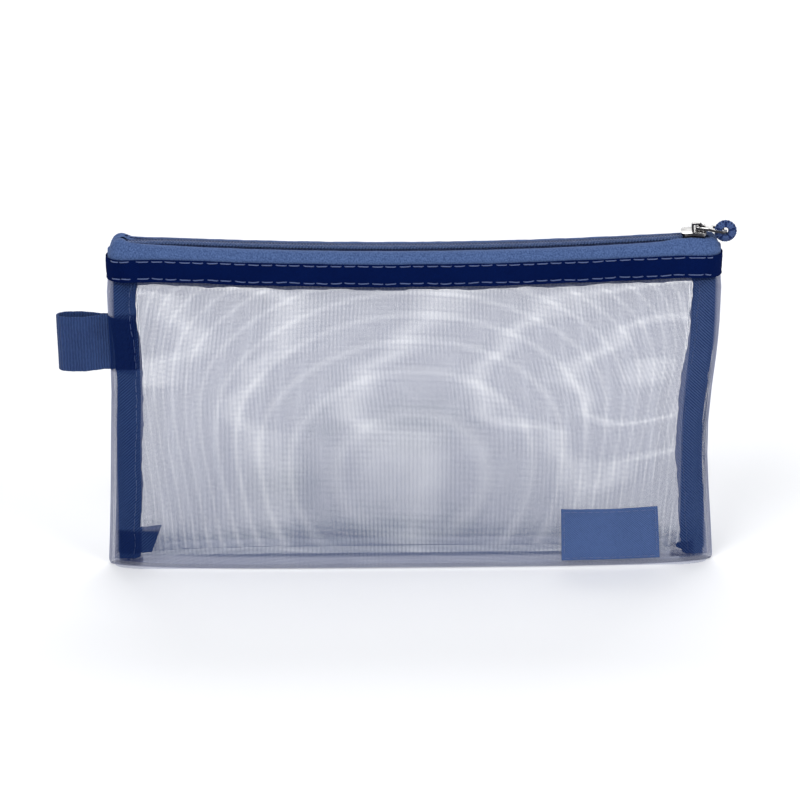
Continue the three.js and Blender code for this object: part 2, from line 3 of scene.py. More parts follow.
import bpy
import numpy as np
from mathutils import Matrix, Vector


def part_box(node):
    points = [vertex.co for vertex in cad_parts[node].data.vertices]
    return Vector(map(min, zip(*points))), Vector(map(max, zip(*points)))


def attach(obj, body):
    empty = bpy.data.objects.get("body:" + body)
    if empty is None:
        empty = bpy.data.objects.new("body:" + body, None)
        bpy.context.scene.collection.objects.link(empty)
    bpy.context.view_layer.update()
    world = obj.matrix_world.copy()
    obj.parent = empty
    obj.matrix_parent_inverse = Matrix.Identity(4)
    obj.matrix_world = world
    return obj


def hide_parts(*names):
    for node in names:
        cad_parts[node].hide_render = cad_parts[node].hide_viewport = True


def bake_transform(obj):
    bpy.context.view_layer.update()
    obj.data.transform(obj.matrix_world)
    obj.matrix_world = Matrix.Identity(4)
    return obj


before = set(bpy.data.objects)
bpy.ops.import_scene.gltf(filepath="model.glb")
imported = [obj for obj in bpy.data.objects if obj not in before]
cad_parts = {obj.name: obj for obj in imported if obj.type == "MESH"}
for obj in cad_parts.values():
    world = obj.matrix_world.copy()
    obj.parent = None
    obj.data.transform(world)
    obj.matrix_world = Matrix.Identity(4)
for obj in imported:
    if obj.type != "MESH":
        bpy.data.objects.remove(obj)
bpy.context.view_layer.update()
mm = 0.001

pouch = {
    "width": 232, "zipperHeight": 128.2, "zipperSag": 3.9, "baseDepth": 19, "mouthDepth": 15,
    "wallBulge": 1.4, "sideWaist": 1.0, "baseFlare": 1.2, "baseRoundness": 3.5, "mouthRoundness": 30,
    "baseEdge": 2.5, "shoulderDrop": 3.6, "shoulderDropAtEnds": 2.6, "cornerRadius": 5.2, "cornerInset": 0.4,
    "tipStart": 0.9, "meshTopBelowBand": 1.0,
}
layers = {
    "gap": 0.3, "mesh": 0.6, "tape": 0.5, "band": 0.5, "facing": 0.4, "label": 0.45,
    "bandHeight": 8.8, "facingBelowBand": 2.0,
}

# How the filled-out cloth differs from the plain solids: it leans to the left below "leanFrom", and its sides
# spread just under the band, and the right one is tucked in at mid height.
drape = {"lean": 1.2, "leanFrom": 95, "leanFull": 50, "spread": 1.4, "spreadFrom": 62, "spreadFull": 104,
         "underBand": 112, "spreadEnd": 117, "tuck": 1.3, "tuckHeight": 46, "tuckReach": 26,
         "tuckFrom": 50, "tuckFull": 105}

halfWidth = pouch["width"] / 2
cornerStart = halfWidth - pouch["cornerInset"] - pouch["cornerRadius"]
arcRadius = (cornerStart ** 2 + pouch["zipperSag"] ** 2) / (2 * pouch["zipperSag"])
arcCentreZ = pouch["zipperHeight"] + arcRadius


# Shape of the pouch, as in the solid model

def mix(a, b, t):
    return a + (b - a) * t


def ease(value, start, end):
    share = np.clip((value - start) / (end - start), 0, 1)
    return share * share * (3 - 2 * share)


def zipperLine(x):
    return arcCentreZ - sqrt(arcRadius ** 2 - x * x)


def endDrop(x):
    radius = pouch["cornerRadius"]
    past = min(max(abs(x) - cornerStart, 0), radius * 0.99)
    return radius - sqrt(radius ** 2 - past ** 2)


def bandTop(x):
    atEnd = min(abs(x) / halfWidth, 1) ** 10
    return zipperLine(x) - pouch["shoulderDrop"] - pouch["shoulderDropAtEnds"] * atEnd


def planSizes(v):
    bulge = 4 * v * (1 - v)
    a = halfWidth + pouch["baseFlare"] * (1 - v) ** 2 - pouch["sideWaist"] * bulge
    d = mix(pouch["baseDepth"], pouch["mouthDepth"], v) / 2 + pouch["wallBulge"] * bulge
    p = mix(pouch["baseRoundness"], pouch["mouthRoundness"], v ** 3)
    return a, d, p


def planPoint(t, v, offset):
    # Front wall in plan, t from seam to seam and v up the wall.
    a, d, p = planSizes(v)
    s = abs(t)
    if s > pouch["tipStart"]:
        joinDepth = sqrt(1 - pouch["tipStart"] ** p)
        depth = joinDepth * (1 - s) / (1 - pouch["tipStart"])
        s = (1 - depth ** 2) ** (1 / p)
    y = d * sqrt(max(1 - s ** p, 0))
    nx = (p / a) * s ** (p - 1)
    ny = 2 * y / d ** 2
    size = hypot(nx, ny)
    return copysign(a * s + offset * nx / size, t), -(y + offset * ny / size)


def bandTopAt(t):
    return bandTop(planPoint(t, 1, 0)[0])


def wallPoint(t, z, offset):
    x, y = planPoint(t, min(max(z / bandTopAt(t), 0), 1), offset)
    return np.array([x, y, z])


def wallFacing(t, z):
    return wallPoint(t, z, 1) - wallPoint(t, z, 0) + np.array([0, 0, 0.001])


def sideEdge(z):
    return planPoint(1, min(z / bandTop(halfWidth), 1), 0)[0]


def tForX(x, v):
    # The station of the front wall that lies at x.
    stations = np.linspace(-1, 1, 2001)
    return np.interp(x, [planPoint(t, v, 0)[0] for t in stations], stations)


def wallStations(limit, steps=90):
    # Stations of the front wall from tip to tip, closer together round the tips.
    tip = np.sort(pouch["tipStart"] + (limit - pouch["tipStart"]) * np.sin(np.linspace(0, pi / 2, 9)))
    inside = np.linspace(-pouch["tipStart"], pouch["tipStart"], steps)[1:-1]
    return np.concatenate([-tip[::-1], inside, tip])


def lengthsAlong(points):
    return np.concatenate([[0], np.cumsum(np.linalg.norm(np.diff(points, axis=0), axis=1))])


def alongWall(stations, v=1):
    length = lengthsAlong([planPoint(t, v, 0) for t in stations])
    return length - length[-1] / 2


def bendToZipper(points):
    # Points with x along the chain and z above the tape, laid on the zipper's arc.
    points = np.asarray(points, float)
    angle = points[:, 0] / arcRadius
    radius = arcRadius - points[:, 2]
    return np.column_stack([radius * np.sin(angle), points[:, 1], arcCentreZ - radius * np.cos(angle)])


# Mesh helpers

def placed(name, data):
    made = bpy.data.objects.new(name, data)
    bpy.context.scene.collection.objects.link(made)
    return made


def addMesh(name, vertices, faces, material, uv=None):
    mesh = bpy.data.meshes.new(name)
    mesh.from_pydata((vertices * mm).tolist(), [], faces)
    if uv is not None:
        layer = mesh.uv_layers.new(name="lay")
        corners = np.zeros(len(mesh.loops), int)
        mesh.loops.foreach_get("vertex_index", corners)
        layer.uv.foreach_set("vector", np.asarray(uv, np.float32)[corners].ravel())
    mesh.polygons.foreach_set("use_smooth", [True] * len(mesh.polygons))
    mesh.materials.append(material)
    mesh.validate()
    mesh.update()
    return placed(name, mesh)


def clothFaces(rows, columns):
    # Faces of a closed sheet: an outer grid of points, then an inner one.
    n = rows * columns
    faces = []
    for i in range(rows - 1):
        for j in range(columns - 1):
            a, b = i * columns + j, (i + 1) * columns + j
            faces.append((a, b, b + 1, a + 1))
            faces.append((a + n, a + 1 + n, b + 1 + n, b + n))
        for j, flip in ((0, True), (columns - 1, False)):
            a, b = i * columns + j, (i + 1) * columns + j
            faces.append((a, a + n, b + n, b) if flip else (a, b, b + n, a + n))
    for j in range(columns - 1):
        for i, flip in ((0, False), (rows - 1, True)):
            a, b = i * columns + j, i * columns + j + 1
            faces.append((a, a + n, b + n, b) if flip else (a, b, b + n, a + n))
    return faces


def clothStrip(name, pointAt, us, vs, thickness, material, roundEdge=0.35, mirror=False, relief=None):
    # A closed strip of cloth: us and vs are millimetres along and across it, pointAt(u, v, height) is a point
    # over its inner face, and relief(u, v) lifts the outer face.
    outer, inner, uv = [], [], []
    for u in us:
        for v in vs:
            edge = min(v - vs[0], vs[-1] - v, u - us[0], us[-1] - u)
            swell = max(sqrt(max(1 - (1 - min(edge / roundEdge, 1)) ** 2, 0)), 0.3)
            lift = relief(u, v) if relief else 0
            outer.append(pointAt(u, v, thickness / 2 + (thickness / 2 + lift) * swell))
            inner.append(pointAt(u, v, thickness / 2 - thickness / 2 * swell))
            uv.append((u, v))
    points = np.array(outer + inner)
    faces = clothFaces(len(us), len(vs))
    if mirror:
        points[:, 1] *= -1
        faces = [f[::-1] for f in faces]
    return addMesh(name, points, faces, material, uv=uv + uv)


def withEdges(low, high, step, edge=0.35):
    # Values from low to high about a step apart, with closer ones at both edges.
    count = max(int(round((high - low - 2 * edge) / step)), 1)
    inside = np.linspace(low + edge, high - edge, count + 1)
    return [low, low + edge * 0.15, low + edge * 0.5, *inside, high - edge * 0.5, high - edge * 0.15, high]


def tubeMesh(path, radiusA, radiusB, sides=6, closed=False, up=(0, 0, 1)):
    # Vertices and faces of a tube along a path. The section is an ellipse: radiusA across and radiusB up.
    path = np.asarray(path, float)
    n = len(path)
    tangent = np.roll(path, -1, 0) - np.roll(path, 1, 0)
    if not closed:
        tangent[[0, -1]] = path[1] - path[0], path[-1] - path[-2]
    tangent /= np.linalg.norm(tangent, axis=1)[:, None]
    across = np.cross(tangent, up)
    weak = np.linalg.norm(across, axis=1) < 1e-6
    across[weak] = np.cross(tangent[weak], (0, 1, 0.001))
    across /= np.linalg.norm(across, axis=1)[:, None]
    upright = np.cross(across, tangent)
    angle = np.linspace(0, 2 * pi, sides, endpoint=False)[:, None]
    ring = across[:, None] * radiusA * np.cos(angle) + upright[:, None] * radiusB * np.sin(angle)
    vertices = (path[:, None] + ring).reshape(-1, 3)
    faces = []
    for i in range(n if closed else n - 1):
        j = (i + 1) % n
        for k in range(sides):
            m = (k + 1) % sides
            faces.append((i * sides + k, i * sides + m, j * sides + m, j * sides + k))
    if not closed:
        faces.append(tuple(range(sides))[::-1])
        faces.append(tuple((n - 1) * sides + k for k in range(sides)))
    return vertices, faces


def joinTubes(name, tubes, material):
    vertices, faces, base = [], [], 0
    for points, shape in tubes:
        vertices.append(points)
        faces.extend(tuple(k + base for k in face) for face in shape)
        base += len(points)
    return addMesh(name, np.vstack(vertices), faces, material)


# Materials

colours = {
    # Mesh thread colours: besides their plain colour, painted light (paler tones) and painted shade (darker
    # tones low in the middle and over dark cloth).
    "meshThread": {"plain": (0.26, 0.285, 0.405), "deep": (0.035, 0.075, 0.19), "pale": (0.44, 0.465, 0.57),
                   "overBinding": ((0.003, 0.018, 0.085), (0.05, 0.098, 0.27)),
                   "edge": (0.4, 0.42, 0.54), "overDark": (0.004, 0.02, 0.11)},
    "tape": ((0.088, 0.15, 0.325), (0.022, 0.046, 0.135)),
    "coil": ((0.068, 0.12, 0.275), (0.03, 0.062, 0.165)),
    # Painted shade: the back coil is a darker copy of the front coil's colour.
    "coilBack": ((0.04, 0.07, 0.18), (0.018, 0.036, 0.105)),
    # Painted shade: near-black for the stitches along the groove beside the chain.
    "coilGrooveShade": ((0.004, 0.013, 0.062), (0.002, 0.008, 0.04)),
    "band": ((0.0016, 0.0085, 0.062), (0.0008, 0.004, 0.036)),
    "facing": ((0.02, 0.036, 0.11), (0.01, 0.02, 0.07)),
    "binding": ((0.044, 0.084, 0.225), (0.004, 0.016, 0.066)),
    # Painted light: the right binding is a lighter copy of the same tape as the left one.
    "bindingRight": ((0.1, 0.158, 0.345), (0.008, 0.024, 0.085)),
    "webbing": ((0.034, 0.07, 0.2), (0.012, 0.028, 0.096)),
    "label": ((0.074, 0.128, 0.3), (0.022, 0.047, 0.135)),
    "bandStitch": ((0.07, 0.104, 0.235), (0.042, 0.066, 0.17)),
    "paleStitch": ((0.1, 0.15, 0.32), (0.06, 0.095, 0.23)),
    "cord": ((0.052, 0.095, 0.24), (0.026, 0.052, 0.15)),
    "cordShade": ((0.012, 0.03, 0.11), (0.005, 0.014, 0.07)),
}
# Ribs of each cloth: millimetres from rib to rib, how the yarn breaks them up, their depth and their tone.
plainRibs = {"yarn": 1.0, "contrast": 0.6, "lines": 0}
ribs = {
    "tape": {"along": 0.62, "across": 1.9, "yarn": 1.4, "depth": 0.012, "contrast": 0.25},
    "band": {"along": 0.75, "across": 0.75, "depth": 0.03},
    "facing": {"along": 0.75, "across": 0.75, "depth": 0.025},
    "binding": {"along": 0.95, "across": -0.95, "depth": 0.05, "contrast": 0.2, "lines": 0.8},
    "bindingRight": {"along": 0.95, "across": 0.95, "depth": 0.05, "contrast": 0.2, "lines": 0.8},
    "label": {"along": 0.95, "across": -0.95, "depth": 0.045, "contrast": 1},
    "webbing": {"along": 1.1, "across": 9000.0, "yarn": 1.6, "depth": 0.11},
}
twillPitch = 1.25
# Heights between which the left binding is painted darker, as shade: where the webbing lies behind it, and at
# its own folded end.
bindingShadeBands = ((80.3, 102.7, 1.0), (4.5, 14.5, 0.7))
# Nickel's painted reflection: dark and bright tones, mixed by how far a face turns towards the painted light
# side, and its roughness.
metal = {"dark": (0.035, 0.035, 0.04), "bright": (0.8, 0.79, 0.78), "roughness": 0.14,
         "paintedLightSide": (0.3, 0.45, 0.85)}


def plug(socket, value):
    # A socket takes another node's output, or a number, or a colour.
    if isinstance(value, Value):
        socket.id_data.links.new(value.socket, socket)
    elif socket.type == "RGBA" and len(value) == 3:
        socket.default_value = (*value, 1)
    else:
        socket.default_value = value


def addNode(tree, kind, inputs=(), **settings):
    made = tree.nodes.new("ShaderNode" + kind)
    for key, value in settings.items():
        setattr(made, key, value)
    for key, value in dict(inputs).items():
        plug(made.inputs[key], value)
    return made


class Value:
    # An output of a shader node. Sums of such values are written as plain sums, and each makes a Math node.
    def __init__(self, socket):
        self.socket = socket
        self.tree = socket.id_data

    def calc(self, operation, *others):
        made = addNode(self.tree, "Math", dict(enumerate((self, *others))), operation=operation)
        return Value(made.outputs[0])

    def __add__(self, other):
        return self.calc("ADD", other)

    def __sub__(self, other):
        return self.calc("SUBTRACT", other)

    def __mul__(self, other):
        return self.calc("MULTIPLY", other)

    def __truediv__(self, other):
        return self.calc("DIVIDE", other)


def wave(turns, shape="SINE"):
    return (turns * (2 * pi)).calc(shape) * 0.5 + 0.5


def ramp(value, low, high, bottom=0.0, top=1.0, kind="LINEAR"):
    # From bottom at low to top at high, and level beyond them.
    made = addNode(value.tree, "MapRange", {"Value": value, "From Min": low, "From Max": high,
                                            "To Min": bottom, "To Max": top}, interpolation_type=kind)
    return Value(made.outputs["Result"])


def between(value, low, high, soft):
    # 1 between two values and 0 outside them, with soft edges.
    return ramp(value, low - soft, low + soft) * ramp(value, high + soft, high - soft)


def noise(place, scale, detail):
    made = addNode(place.tree, "TexNoise", {"Vector": place, "Scale": scale, "Detail": detail})
    return Value(made.outputs["Fac"])


def split(place):
    return [Value(socket) for socket in addNode(place.tree, "SeparateXYZ", {"Vector": place}).outputs]


def millimetres(place):
    return Value(addNode(place.tree, "VectorMath", {0: place, "Scale": 1 / mm}, operation="SCALE").outputs[0])


def colourMix(factor, dark, light):
    return Value(addNode(factor.tree, "Mix", {0: factor, 6: dark, 7: light}, data_type="RGBA").outputs[2])


def bumped(height, strength, distance):
    made = addNode(height.tree, "Bump", {"Height": height, "Strength": strength, "Distance": distance * mm})
    return Value(made.outputs["Normal"])


def newGroup(name, settings, results):
    # A shader group that takes a place and some numbers and puts out masks or heights.
    tree = bpy.data.node_groups.new(name, "ShaderNodeTree")
    tree.interface.new_socket("Vector", in_out="INPUT", socket_type="NodeSocketVector")
    for way, keys in (("INPUT", settings), ("OUTPUT", results)):
        for key in keys:
            tree.interface.new_socket(key, in_out=way, socket_type="NodeSocketFloat")
    given = {socket.name: Value(socket) for socket in tree.nodes.new("NodeGroupInput").outputs}
    return tree, given, tree.nodes.new("NodeGroupOutput").inputs


def useGroup(group, place, **settings):
    made = addNode(place.tree, "Group", {"Vector": place, **settings}, node_tree=group)
    return {socket.name: Value(socket) for socket in made.outputs}


def weaveGroup():
    # Ribs of a woven cloth from millimetres along and across it. The yarn wave breaks each rib into floats.
    tree, given, result = newGroup("weave", ("Along", "Across", "Yarn"), ("Height",))
    x, y, _ = split(given["Vector"])
    u = x / given["Along"]
    rib = wave(noise(given["Vector"], 0.35, 2.0) * 0.8 + (u + y / given["Across"]))
    yarn = wave((y * 1.7 + u * -0.5) * given["Yarn"])
    plug(result["Height"], rib.calc("POWER", 0.7) * (yarn * 0.3 + 0.7))
    return tree


def twillGroup():
    # Slanting lines of the seam bindings, rising outwards on both sides.
    tree, given, result = newGroup("twillLines", ("Pitch",), ("Lines",))
    x, _, z = split(millimetres(given["Vector"]))
    plug(result["Lines"], wave((x.calc("ABSOLUTE") + z) / given["Pitch"]))
    return tree


def mottleGroup():
    # Uneven dye and handling of the cloth, and uneven painted reflection on the metal: a broad patchiness and
    # a fine speckle, in metres of the object.
    tree, given, result = newGroup("mottle", ("Broad", "Fine"), ("Patch", "Speck"))
    for key, scale, detail in (("Patch", "Broad", 2.0), ("Speck", "Fine", 3.0)):
        plug(result[key], ramp(noise(given["Vector"], given[scale], detail), 0.3, 0.7))
    return tree


weave = weaveGroup()
mottle = mottleGroup()
twill = twillGroup()


def blank(name):
    material = bpy.data.materials.new(name)
    material.use_nodes = True
    return material


def placeOn(material):
    return Value(addNode(material.node_tree, "TexCoord").outputs["Object"])


def surface(material, colour, roughness, gloss=0.5, sheen=0.0, **more):
    shader = material.node_tree.nodes["Principled BSDF"]
    values = {"Base Color": colour, "Roughness": roughness, "Specular IOR Level": gloss, "Sheen Weight": sheen}
    for key, value in {**values, **more}.items():
        plug(shader.inputs[key], value)
    return material


def clothMaterial(name, kind, roughness=0.8, sheen=0.04, gloss=0.15, patch=0.25, speck=0.25, fine=900.0,
                  paintedShadeBands=()):
    material = blank(name)
    place = placeOn(material)
    light, dark = colours[kind]
    rib = {**plainRibs, **ribs[kind]}
    uneven = useGroup(mottle, place, Broad=45.0, Fine=fine)
    lay = Value(addNode(place.tree, "UVMap", uv_map="lay").outputs["UV"])
    height = useGroup(weave, lay, Along=rib["along"], Across=rib["across"], Yarn=rib["yarn"])["Height"]
    shade = uneven["Speck"] * speck + (height * rib["contrast"] + uneven["Patch"] * patch)
    if rib["lines"]:
        shade = useGroup(twill, place, Pitch=twillPitch)["Lines"] * rib["lines"] + shade
    finished = colourMix(shade, dark, light)
    # Painted shade: bands of height mixed towards the dark colour of the top band.
    for low, high, depth in paintedShadeBands:
        mask = between(split(millimetres(place))[2], low, high, 0.4) * depth
        finished = colourMix(mask, finished, colours["band"][0])
    return surface(material, finished, roughness, gloss, sheen, Normal=bumped(height, 1.0, rib["depth"] * 4))


def threadMaterial(name, kind, roughness=0.45, sheen=0.1, gloss=0.4):
    material = blank(name)
    place = placeOn(material)
    light, dark = colours[kind]
    uneven = useGroup(mottle, place, Broad=60.0, Fine=2400.0)
    shade = uneven["Speck"] * 0.5 + uneven["Patch"] * 0.5
    return surface(material, colourMix(shade, dark, light), roughness, gloss, sheen)


# Painted light and shade of the mesh, with places in millimetres as they are before the cloth is draped. low
# and lowest are heights from and to, and tones from and to, of painted shade that darkens towards the bottom.
meshTone = {"streakPitch": 8.0, "arcRise": 8.6, "arcMiddle": 57.0, "arcReach": 55.0, "arcsFrom": (15.0, 60.0),
            "arcWander": 9.0, "arcSharpness": 5.0, "arcTone": (0.4, 0.35), "patches": (0.42, 0.68),
            "binding": (103.6, 112.8), "fold": 113.4, "base": 2.0, "besideBase": (5.2, 6.4), "paleBesideBase": 0.7,
            "low": (55.0, 0.0, 0.0, 0.22), "lowest": (17.0, 6.0, 0.0, 0.85)}
# Painted shade: darker places in the mesh, where its walls touch or a seam lies behind: middle x and z, half
# width, half height and depth of tone.
meshShadows = ((1, 58, 26, 11, 0.62), (-32, 56, 12, 8, 0.4), (-49, 34, 22, 11, 0.62), (-16, 12, 62, 12, 1.0),
               (50, 22, 30, 10, 0.25))
# Places where the mesh threads are painted dark as shade, since they lie over dark cloth: the webbing first,
# then the folded ends of the bindings, and the place over the rest of the left folded end: x from and to, z
# from and to.
meshShadeOverDarkCloth = ((-119, -105, 80.3, 102.7), (-112.5, -104, 1, 14.8), (100, 109, 3, 9))
meshShadeOverTail = (-104, -97, 5.4, 15.5)


def meshToneGroup():
    # Painted light and shade on the mesh: painted pale arcs standing for the fringes where the threads of its
    # two walls fall into step, and pale patches in the middle; painted shade, bluer low in the middle; threads
    # painted dark where the seam bindings and other dark cloth lie close behind, and paler at its own folded
    # edges and along the base. The drape of the cloth is taken off first, so that the tones stay with the
    # seams.
    tree, given, result = newGroup("meshTones", (), ("PaintedPale", "Shadow", "Binding", "Edge", "Dark"))
    scaled = millimetres(given["Vector"])
    x, _, z = split(scaled)
    lean = ramp(z, drape["leanFrom"], drape["leanFull"], 0, drape["lean"], "SMOOTHSTEP")
    widest = 1 + drape["spread"] / halfWidth
    across = (x + lean) / ramp(z, drape["spreadFrom"], drape["spreadFull"], 1, widest, "SMOOTHSTEP")
    side = across.calc("ABSOLUTE")

    def over(left, right, bottom, top):
        return between(across, left, right, 0.4) * between(z, bottom, top, 0.4)

    # Painted light: pale arcs standing for the fringes of the two walls' threads, strongest towards the sides,
    # with pale patches in the middle.
    rise = (z - meshTone["arcMiddle"]) / meshTone["arcReach"]
    arc = noise(scaled, 0.03, 2.0) * meshTone["arcWander"] + (rise * rise * meshTone["arcRise"] + side)
    patchy = ramp(noise(scaled, 0.09, 3.0), *meshTone["patches"])
    arcs = wave(arc / meshTone["streakPitch"], "COSINE").calc("POWER", meshTone["arcSharpness"])
    arcs *= patchy * meshTone["arcTone"][0] + meshTone["arcTone"][1]
    outward = ramp(side, *meshTone["arcsFrom"])
    paintedPale = Value(addNode(tree, "Mix", {0: outward, 2: patchy * 0.5, 3: arcs}, data_type="FLOAT").outputs[0])
    besideBase = ramp(z, *meshTone["besideBase"])
    cloudy = noise(scaled, 0.06, 3.0) * 1.8 + -0.9
    # Painted shade: darker towards the bottom and in the listed patches, none of it beside the base.
    deep = ramp(z, *meshTone["low"]) + ramp(z, *meshTone["lowest"])
    for middleX, middleZ, halfX, halfZ, depth in meshShadows:
        dx = (x - middleX) / halfX
        dz = (z - middleZ) / halfZ
        near = ramp(dx * dx + dz * dz + cloudy, 1.3, -0.2, kind="SMOOTHSTEP")
        deep = deep.calc("MAXIMUM", near * depth)
    # Painted shade: threads over the webbing and over the folded ends of the bindings.
    dark = over(*meshShadeOverDarkCloth[0])
    for place in meshShadeOverDarkCloth[1:]:
        dark = dark.calc("MAXIMUM", over(*place))
    # Painted shade: threads over the seam bindings, and over the rest of the left folded end.
    binding = between(side, *meshTone["binding"], 0.3)
    # Painted light: the folded side edges and the base are painted paler.
    fold = ramp(side, meshTone["fold"] - 0.5, meshTone["fold"] + 0.5)
    # Painted light: the threads beside the base are painted pale too.
    plug(result["PaintedPale"], paintedPale.calc("MAXIMUM", besideBase * -meshTone["paleBesideBase"] + meshTone["paleBesideBase"]))
    plug(result["Shadow"], deep * besideBase)
    plug(result["Binding"], binding.calc("MAXIMUM", over(*meshShadeOverTail)))
    plug(result["Edge"], fold.calc("MAXIMUM", ramp(z, meshTone["base"] + 1, meshTone["base"] - 1)))
    plug(result["Dark"], dark)
    return tree


def meshMaterial():
    material = blank("meshThreads")
    place = placeOn(material)
    colour = colours["meshThread"]
    tones = useGroup(meshToneGroup(), place)
    lines = useGroup(twill, place, Pitch=twillPitch)["Lines"]
    # Painted light and shade, mixed into the threads' colour one tone after another: pale arcs and patches,
    # shade low in the middle, dark threads over the bindings and other dark cloth, paler folded edges.
    toned = colourMix(tones["PaintedPale"], colour["plain"], colour["pale"])
    for key, tone in (("Shadow", colour["deep"]), ("Binding", colourMix(lines, *colour["overBinding"])),
                      ("Edge", colour["edge"]), ("Dark", colour["overDark"])):
        toned = colourMix(tones[key], toned, tone)
    return surface(material, toned, roughness=0.7, gloss=0.1)


def metalMaterial():
    # Nickel plate with painted reflections: the faces that look up are painted bright, and those that look at
    # the dark cloth are painted dark.
    material = blank("nickelPlate")
    place = placeOn(material)
    uneven = useGroup(mottle, place, Broad=220.0, Fine=2500.0)
    normal = Value(place.socket.node.outputs["Normal"])
    facing = addNode(place.tree, "VectorMath", {0: normal, 1: metal["paintedLightSide"]}, operation="DOT_PRODUCT")
    # Painted reflection: faces turned towards that side get the bright tone, uneven in broad patches.
    lit = ramp(uneven["Patch"] * 0.5 + Value(facing.outputs["Value"]), 0.0, 1.25)
    roughness = uneven["Patch"] * 0.1 + metal["roughness"]
    return surface(material, colourMix(lit, metal["dark"], metal["bright"]), roughness, Metallic=1,
                   Normal=bumped(uneven["Speck"], 0.15, 0.02))


finish = {
    "mesh": meshMaterial(),
    "tape": clothMaterial("zipperTape", "tape", speck=0.7, patch=0.05, fine=1700.0),
    "band": clothMaterial("topBand", "band", sheen=0.0, gloss=0.02, roughness=0.95),
    "facing": clothMaterial("innerFacing", "facing", sheen=0.0, gloss=0.05),
    "bindingLeft": clothMaterial("seamBindingLeft", "binding", sheen=0.0, gloss=0.05,
                                 paintedShadeBands=bindingShadeBands),
    "bindingRight": clothMaterial("seamBindingRight", "bindingRight", sheen=0.0, gloss=0.05),
    "label": clothMaterial("labelTwill", "label"),
    "webbing": clothMaterial("webbingRibs", "webbing", patch=0.35),
    "coilFront": threadMaterial("nylonCoil", "coil", roughness=0.5, gloss=0.25),
    "coilBack": threadMaterial("nylonCoilBackShaded", "coilBack", roughness=0.5, gloss=0.25),
    "grooveShade": threadMaterial("coilSeamShade", "coilGrooveShade", roughness=0.8, gloss=0.1),
    "bandStitch": threadMaterial("bandStitch", "bandStitch"),
    "paleStitch": threadMaterial("paleStitch", "paleStitch"),
    "cord": threadMaterial("cordYarn", "cord", roughness=0.6, gloss=0.2),
    "cordShade": threadMaterial("cordYarnShade", "cordShade", roughness=0.6, sheen=0.0, gloss=0.1),
    "metal": metalMaterial(),
}


def draped(piece):
    points = np.empty((len(piece.data.vertices), 3))
    piece.data.vertices.foreach_get("co", points.ravel())
    height = points[:, 2] / mm
    lean = drape["lean"] * ease(height, drape["leanFrom"], drape["leanFull"])
    spread = (drape["spread"] * ease(height, drape["spreadFrom"], drape["spreadFull"])
              * ease(height, drape["spreadEnd"], drape["underBand"]))
    tuck = drape["tuck"] * np.exp(-((height - drape["tuckHeight"]) / drape["tuckReach"]) ** 2)
    tuck *= ease(points[:, 0] / mm, drape["tuckFrom"], drape["tuckFull"])
    points[:, 0] += points[:, 0] / halfWidth * spread - (lean + tuck) * mm
    piece.data.vertices.foreach_set("co", points.ravel())
    piece.data.update()


def settle(piece, slotName, *nodes, body="pouch"):
    if body == "pouch":
        draped(piece)
    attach(piece, body)
    if nodes:
        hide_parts(*nodes)


def joined(name, tubes, material, slotName, *nodes, body="pouch"):
    piece = joinTubes(name, tubes, finish[material])
    settle(piece, slotName, *nodes, body=body)
    return piece


# Mesh body: warps run down the front, under the base and up the back, wefts from seam to seam

threads = {"pitch": 0.5, "warp": (0.062, 0.082), "weft": (0.047, 0.06), "seamAllowance": 9.9, "finHalf": 0.35,
           "crowding": 0.7, "bow": 4.0, "bowEnds": 0.5, "wallRise": 122, "depth": -layers["mesh"] / 2}


def meshWaver(x, z):
    return 0.22 * sin(x / 17 + z / 31) + 0.1 * sin(x / 7.3 - z / 19 + 1.7)


def meshTop(x):
    return bandTop(x) - pouch["meshTopBelowBand"]


def wallShare(t, share, side):
    # Height share of a weft: those of the two walls are bowed opposite ways, which gives real fringes; pale
    # arcs are also painted into the mesh's colour as painted light.
    bow = threads["bow"] * t * t + threads["bowEnds"] * (2 * share - 1) ** 2
    return share + side * bow / 2 / (pouch["zipperHeight"] - pouch["shoulderDrop"])


def basePoint(t, turn, offset):
    inward = pouch["baseEdge"] * (1 - cos(turn))
    x, y = planPoint(t, 0, offset)
    z = pouch["baseEdge"] * (1 - sin(turn))
    return np.array([x * (1 - 0.5 * inward / halfWidth), y * (1 - inward / (pouch["baseDepth"] / 2)),
                     max(z, -offset)])


def warps():
    # A thread pitch apart along the cloth at half height, right round to the folded seams.
    fine = wallStations(0.9995, 400)
    length = alongWall(fine, 0.5)
    count = int(2 * length[-1] / threads["pitch"])
    back = np.array([1, -1, 1])
    for t in np.interp(np.linspace(length[0], length[-1], count + 1), length, fine):
        front, outward = [], []
        still = 1 - abs(t) ** 8
        rim = meshTop(planPoint(t, 1, 0)[0])
        for z in [mix(pouch["baseEdge"], rim, share) for share in np.linspace(0, 1, 10)][::-1]:
            point = wallPoint(t, z, threads["depth"])
            outward.append(wallFacing(t, z))
            point[0] += meshWaver(point[0], z) * still
            front.append(point)
        shift = meshWaver(front[-1][0], 0) * still
        for turn in map(radians, (30, 60, 90)):
            point = basePoint(t, turn, threads["depth"])
            point[0] += shift
            front.append(point)
            outward.append(np.array([0.001, -cos(turn), -sin(turn)]))
        path = np.array(front + [p * back for p in front[::-1]])
        up = np.array(outward + [p * back for p in outward[::-1]])
        yield tubeMesh(path, *threads["warp"], sides=4, up=up)


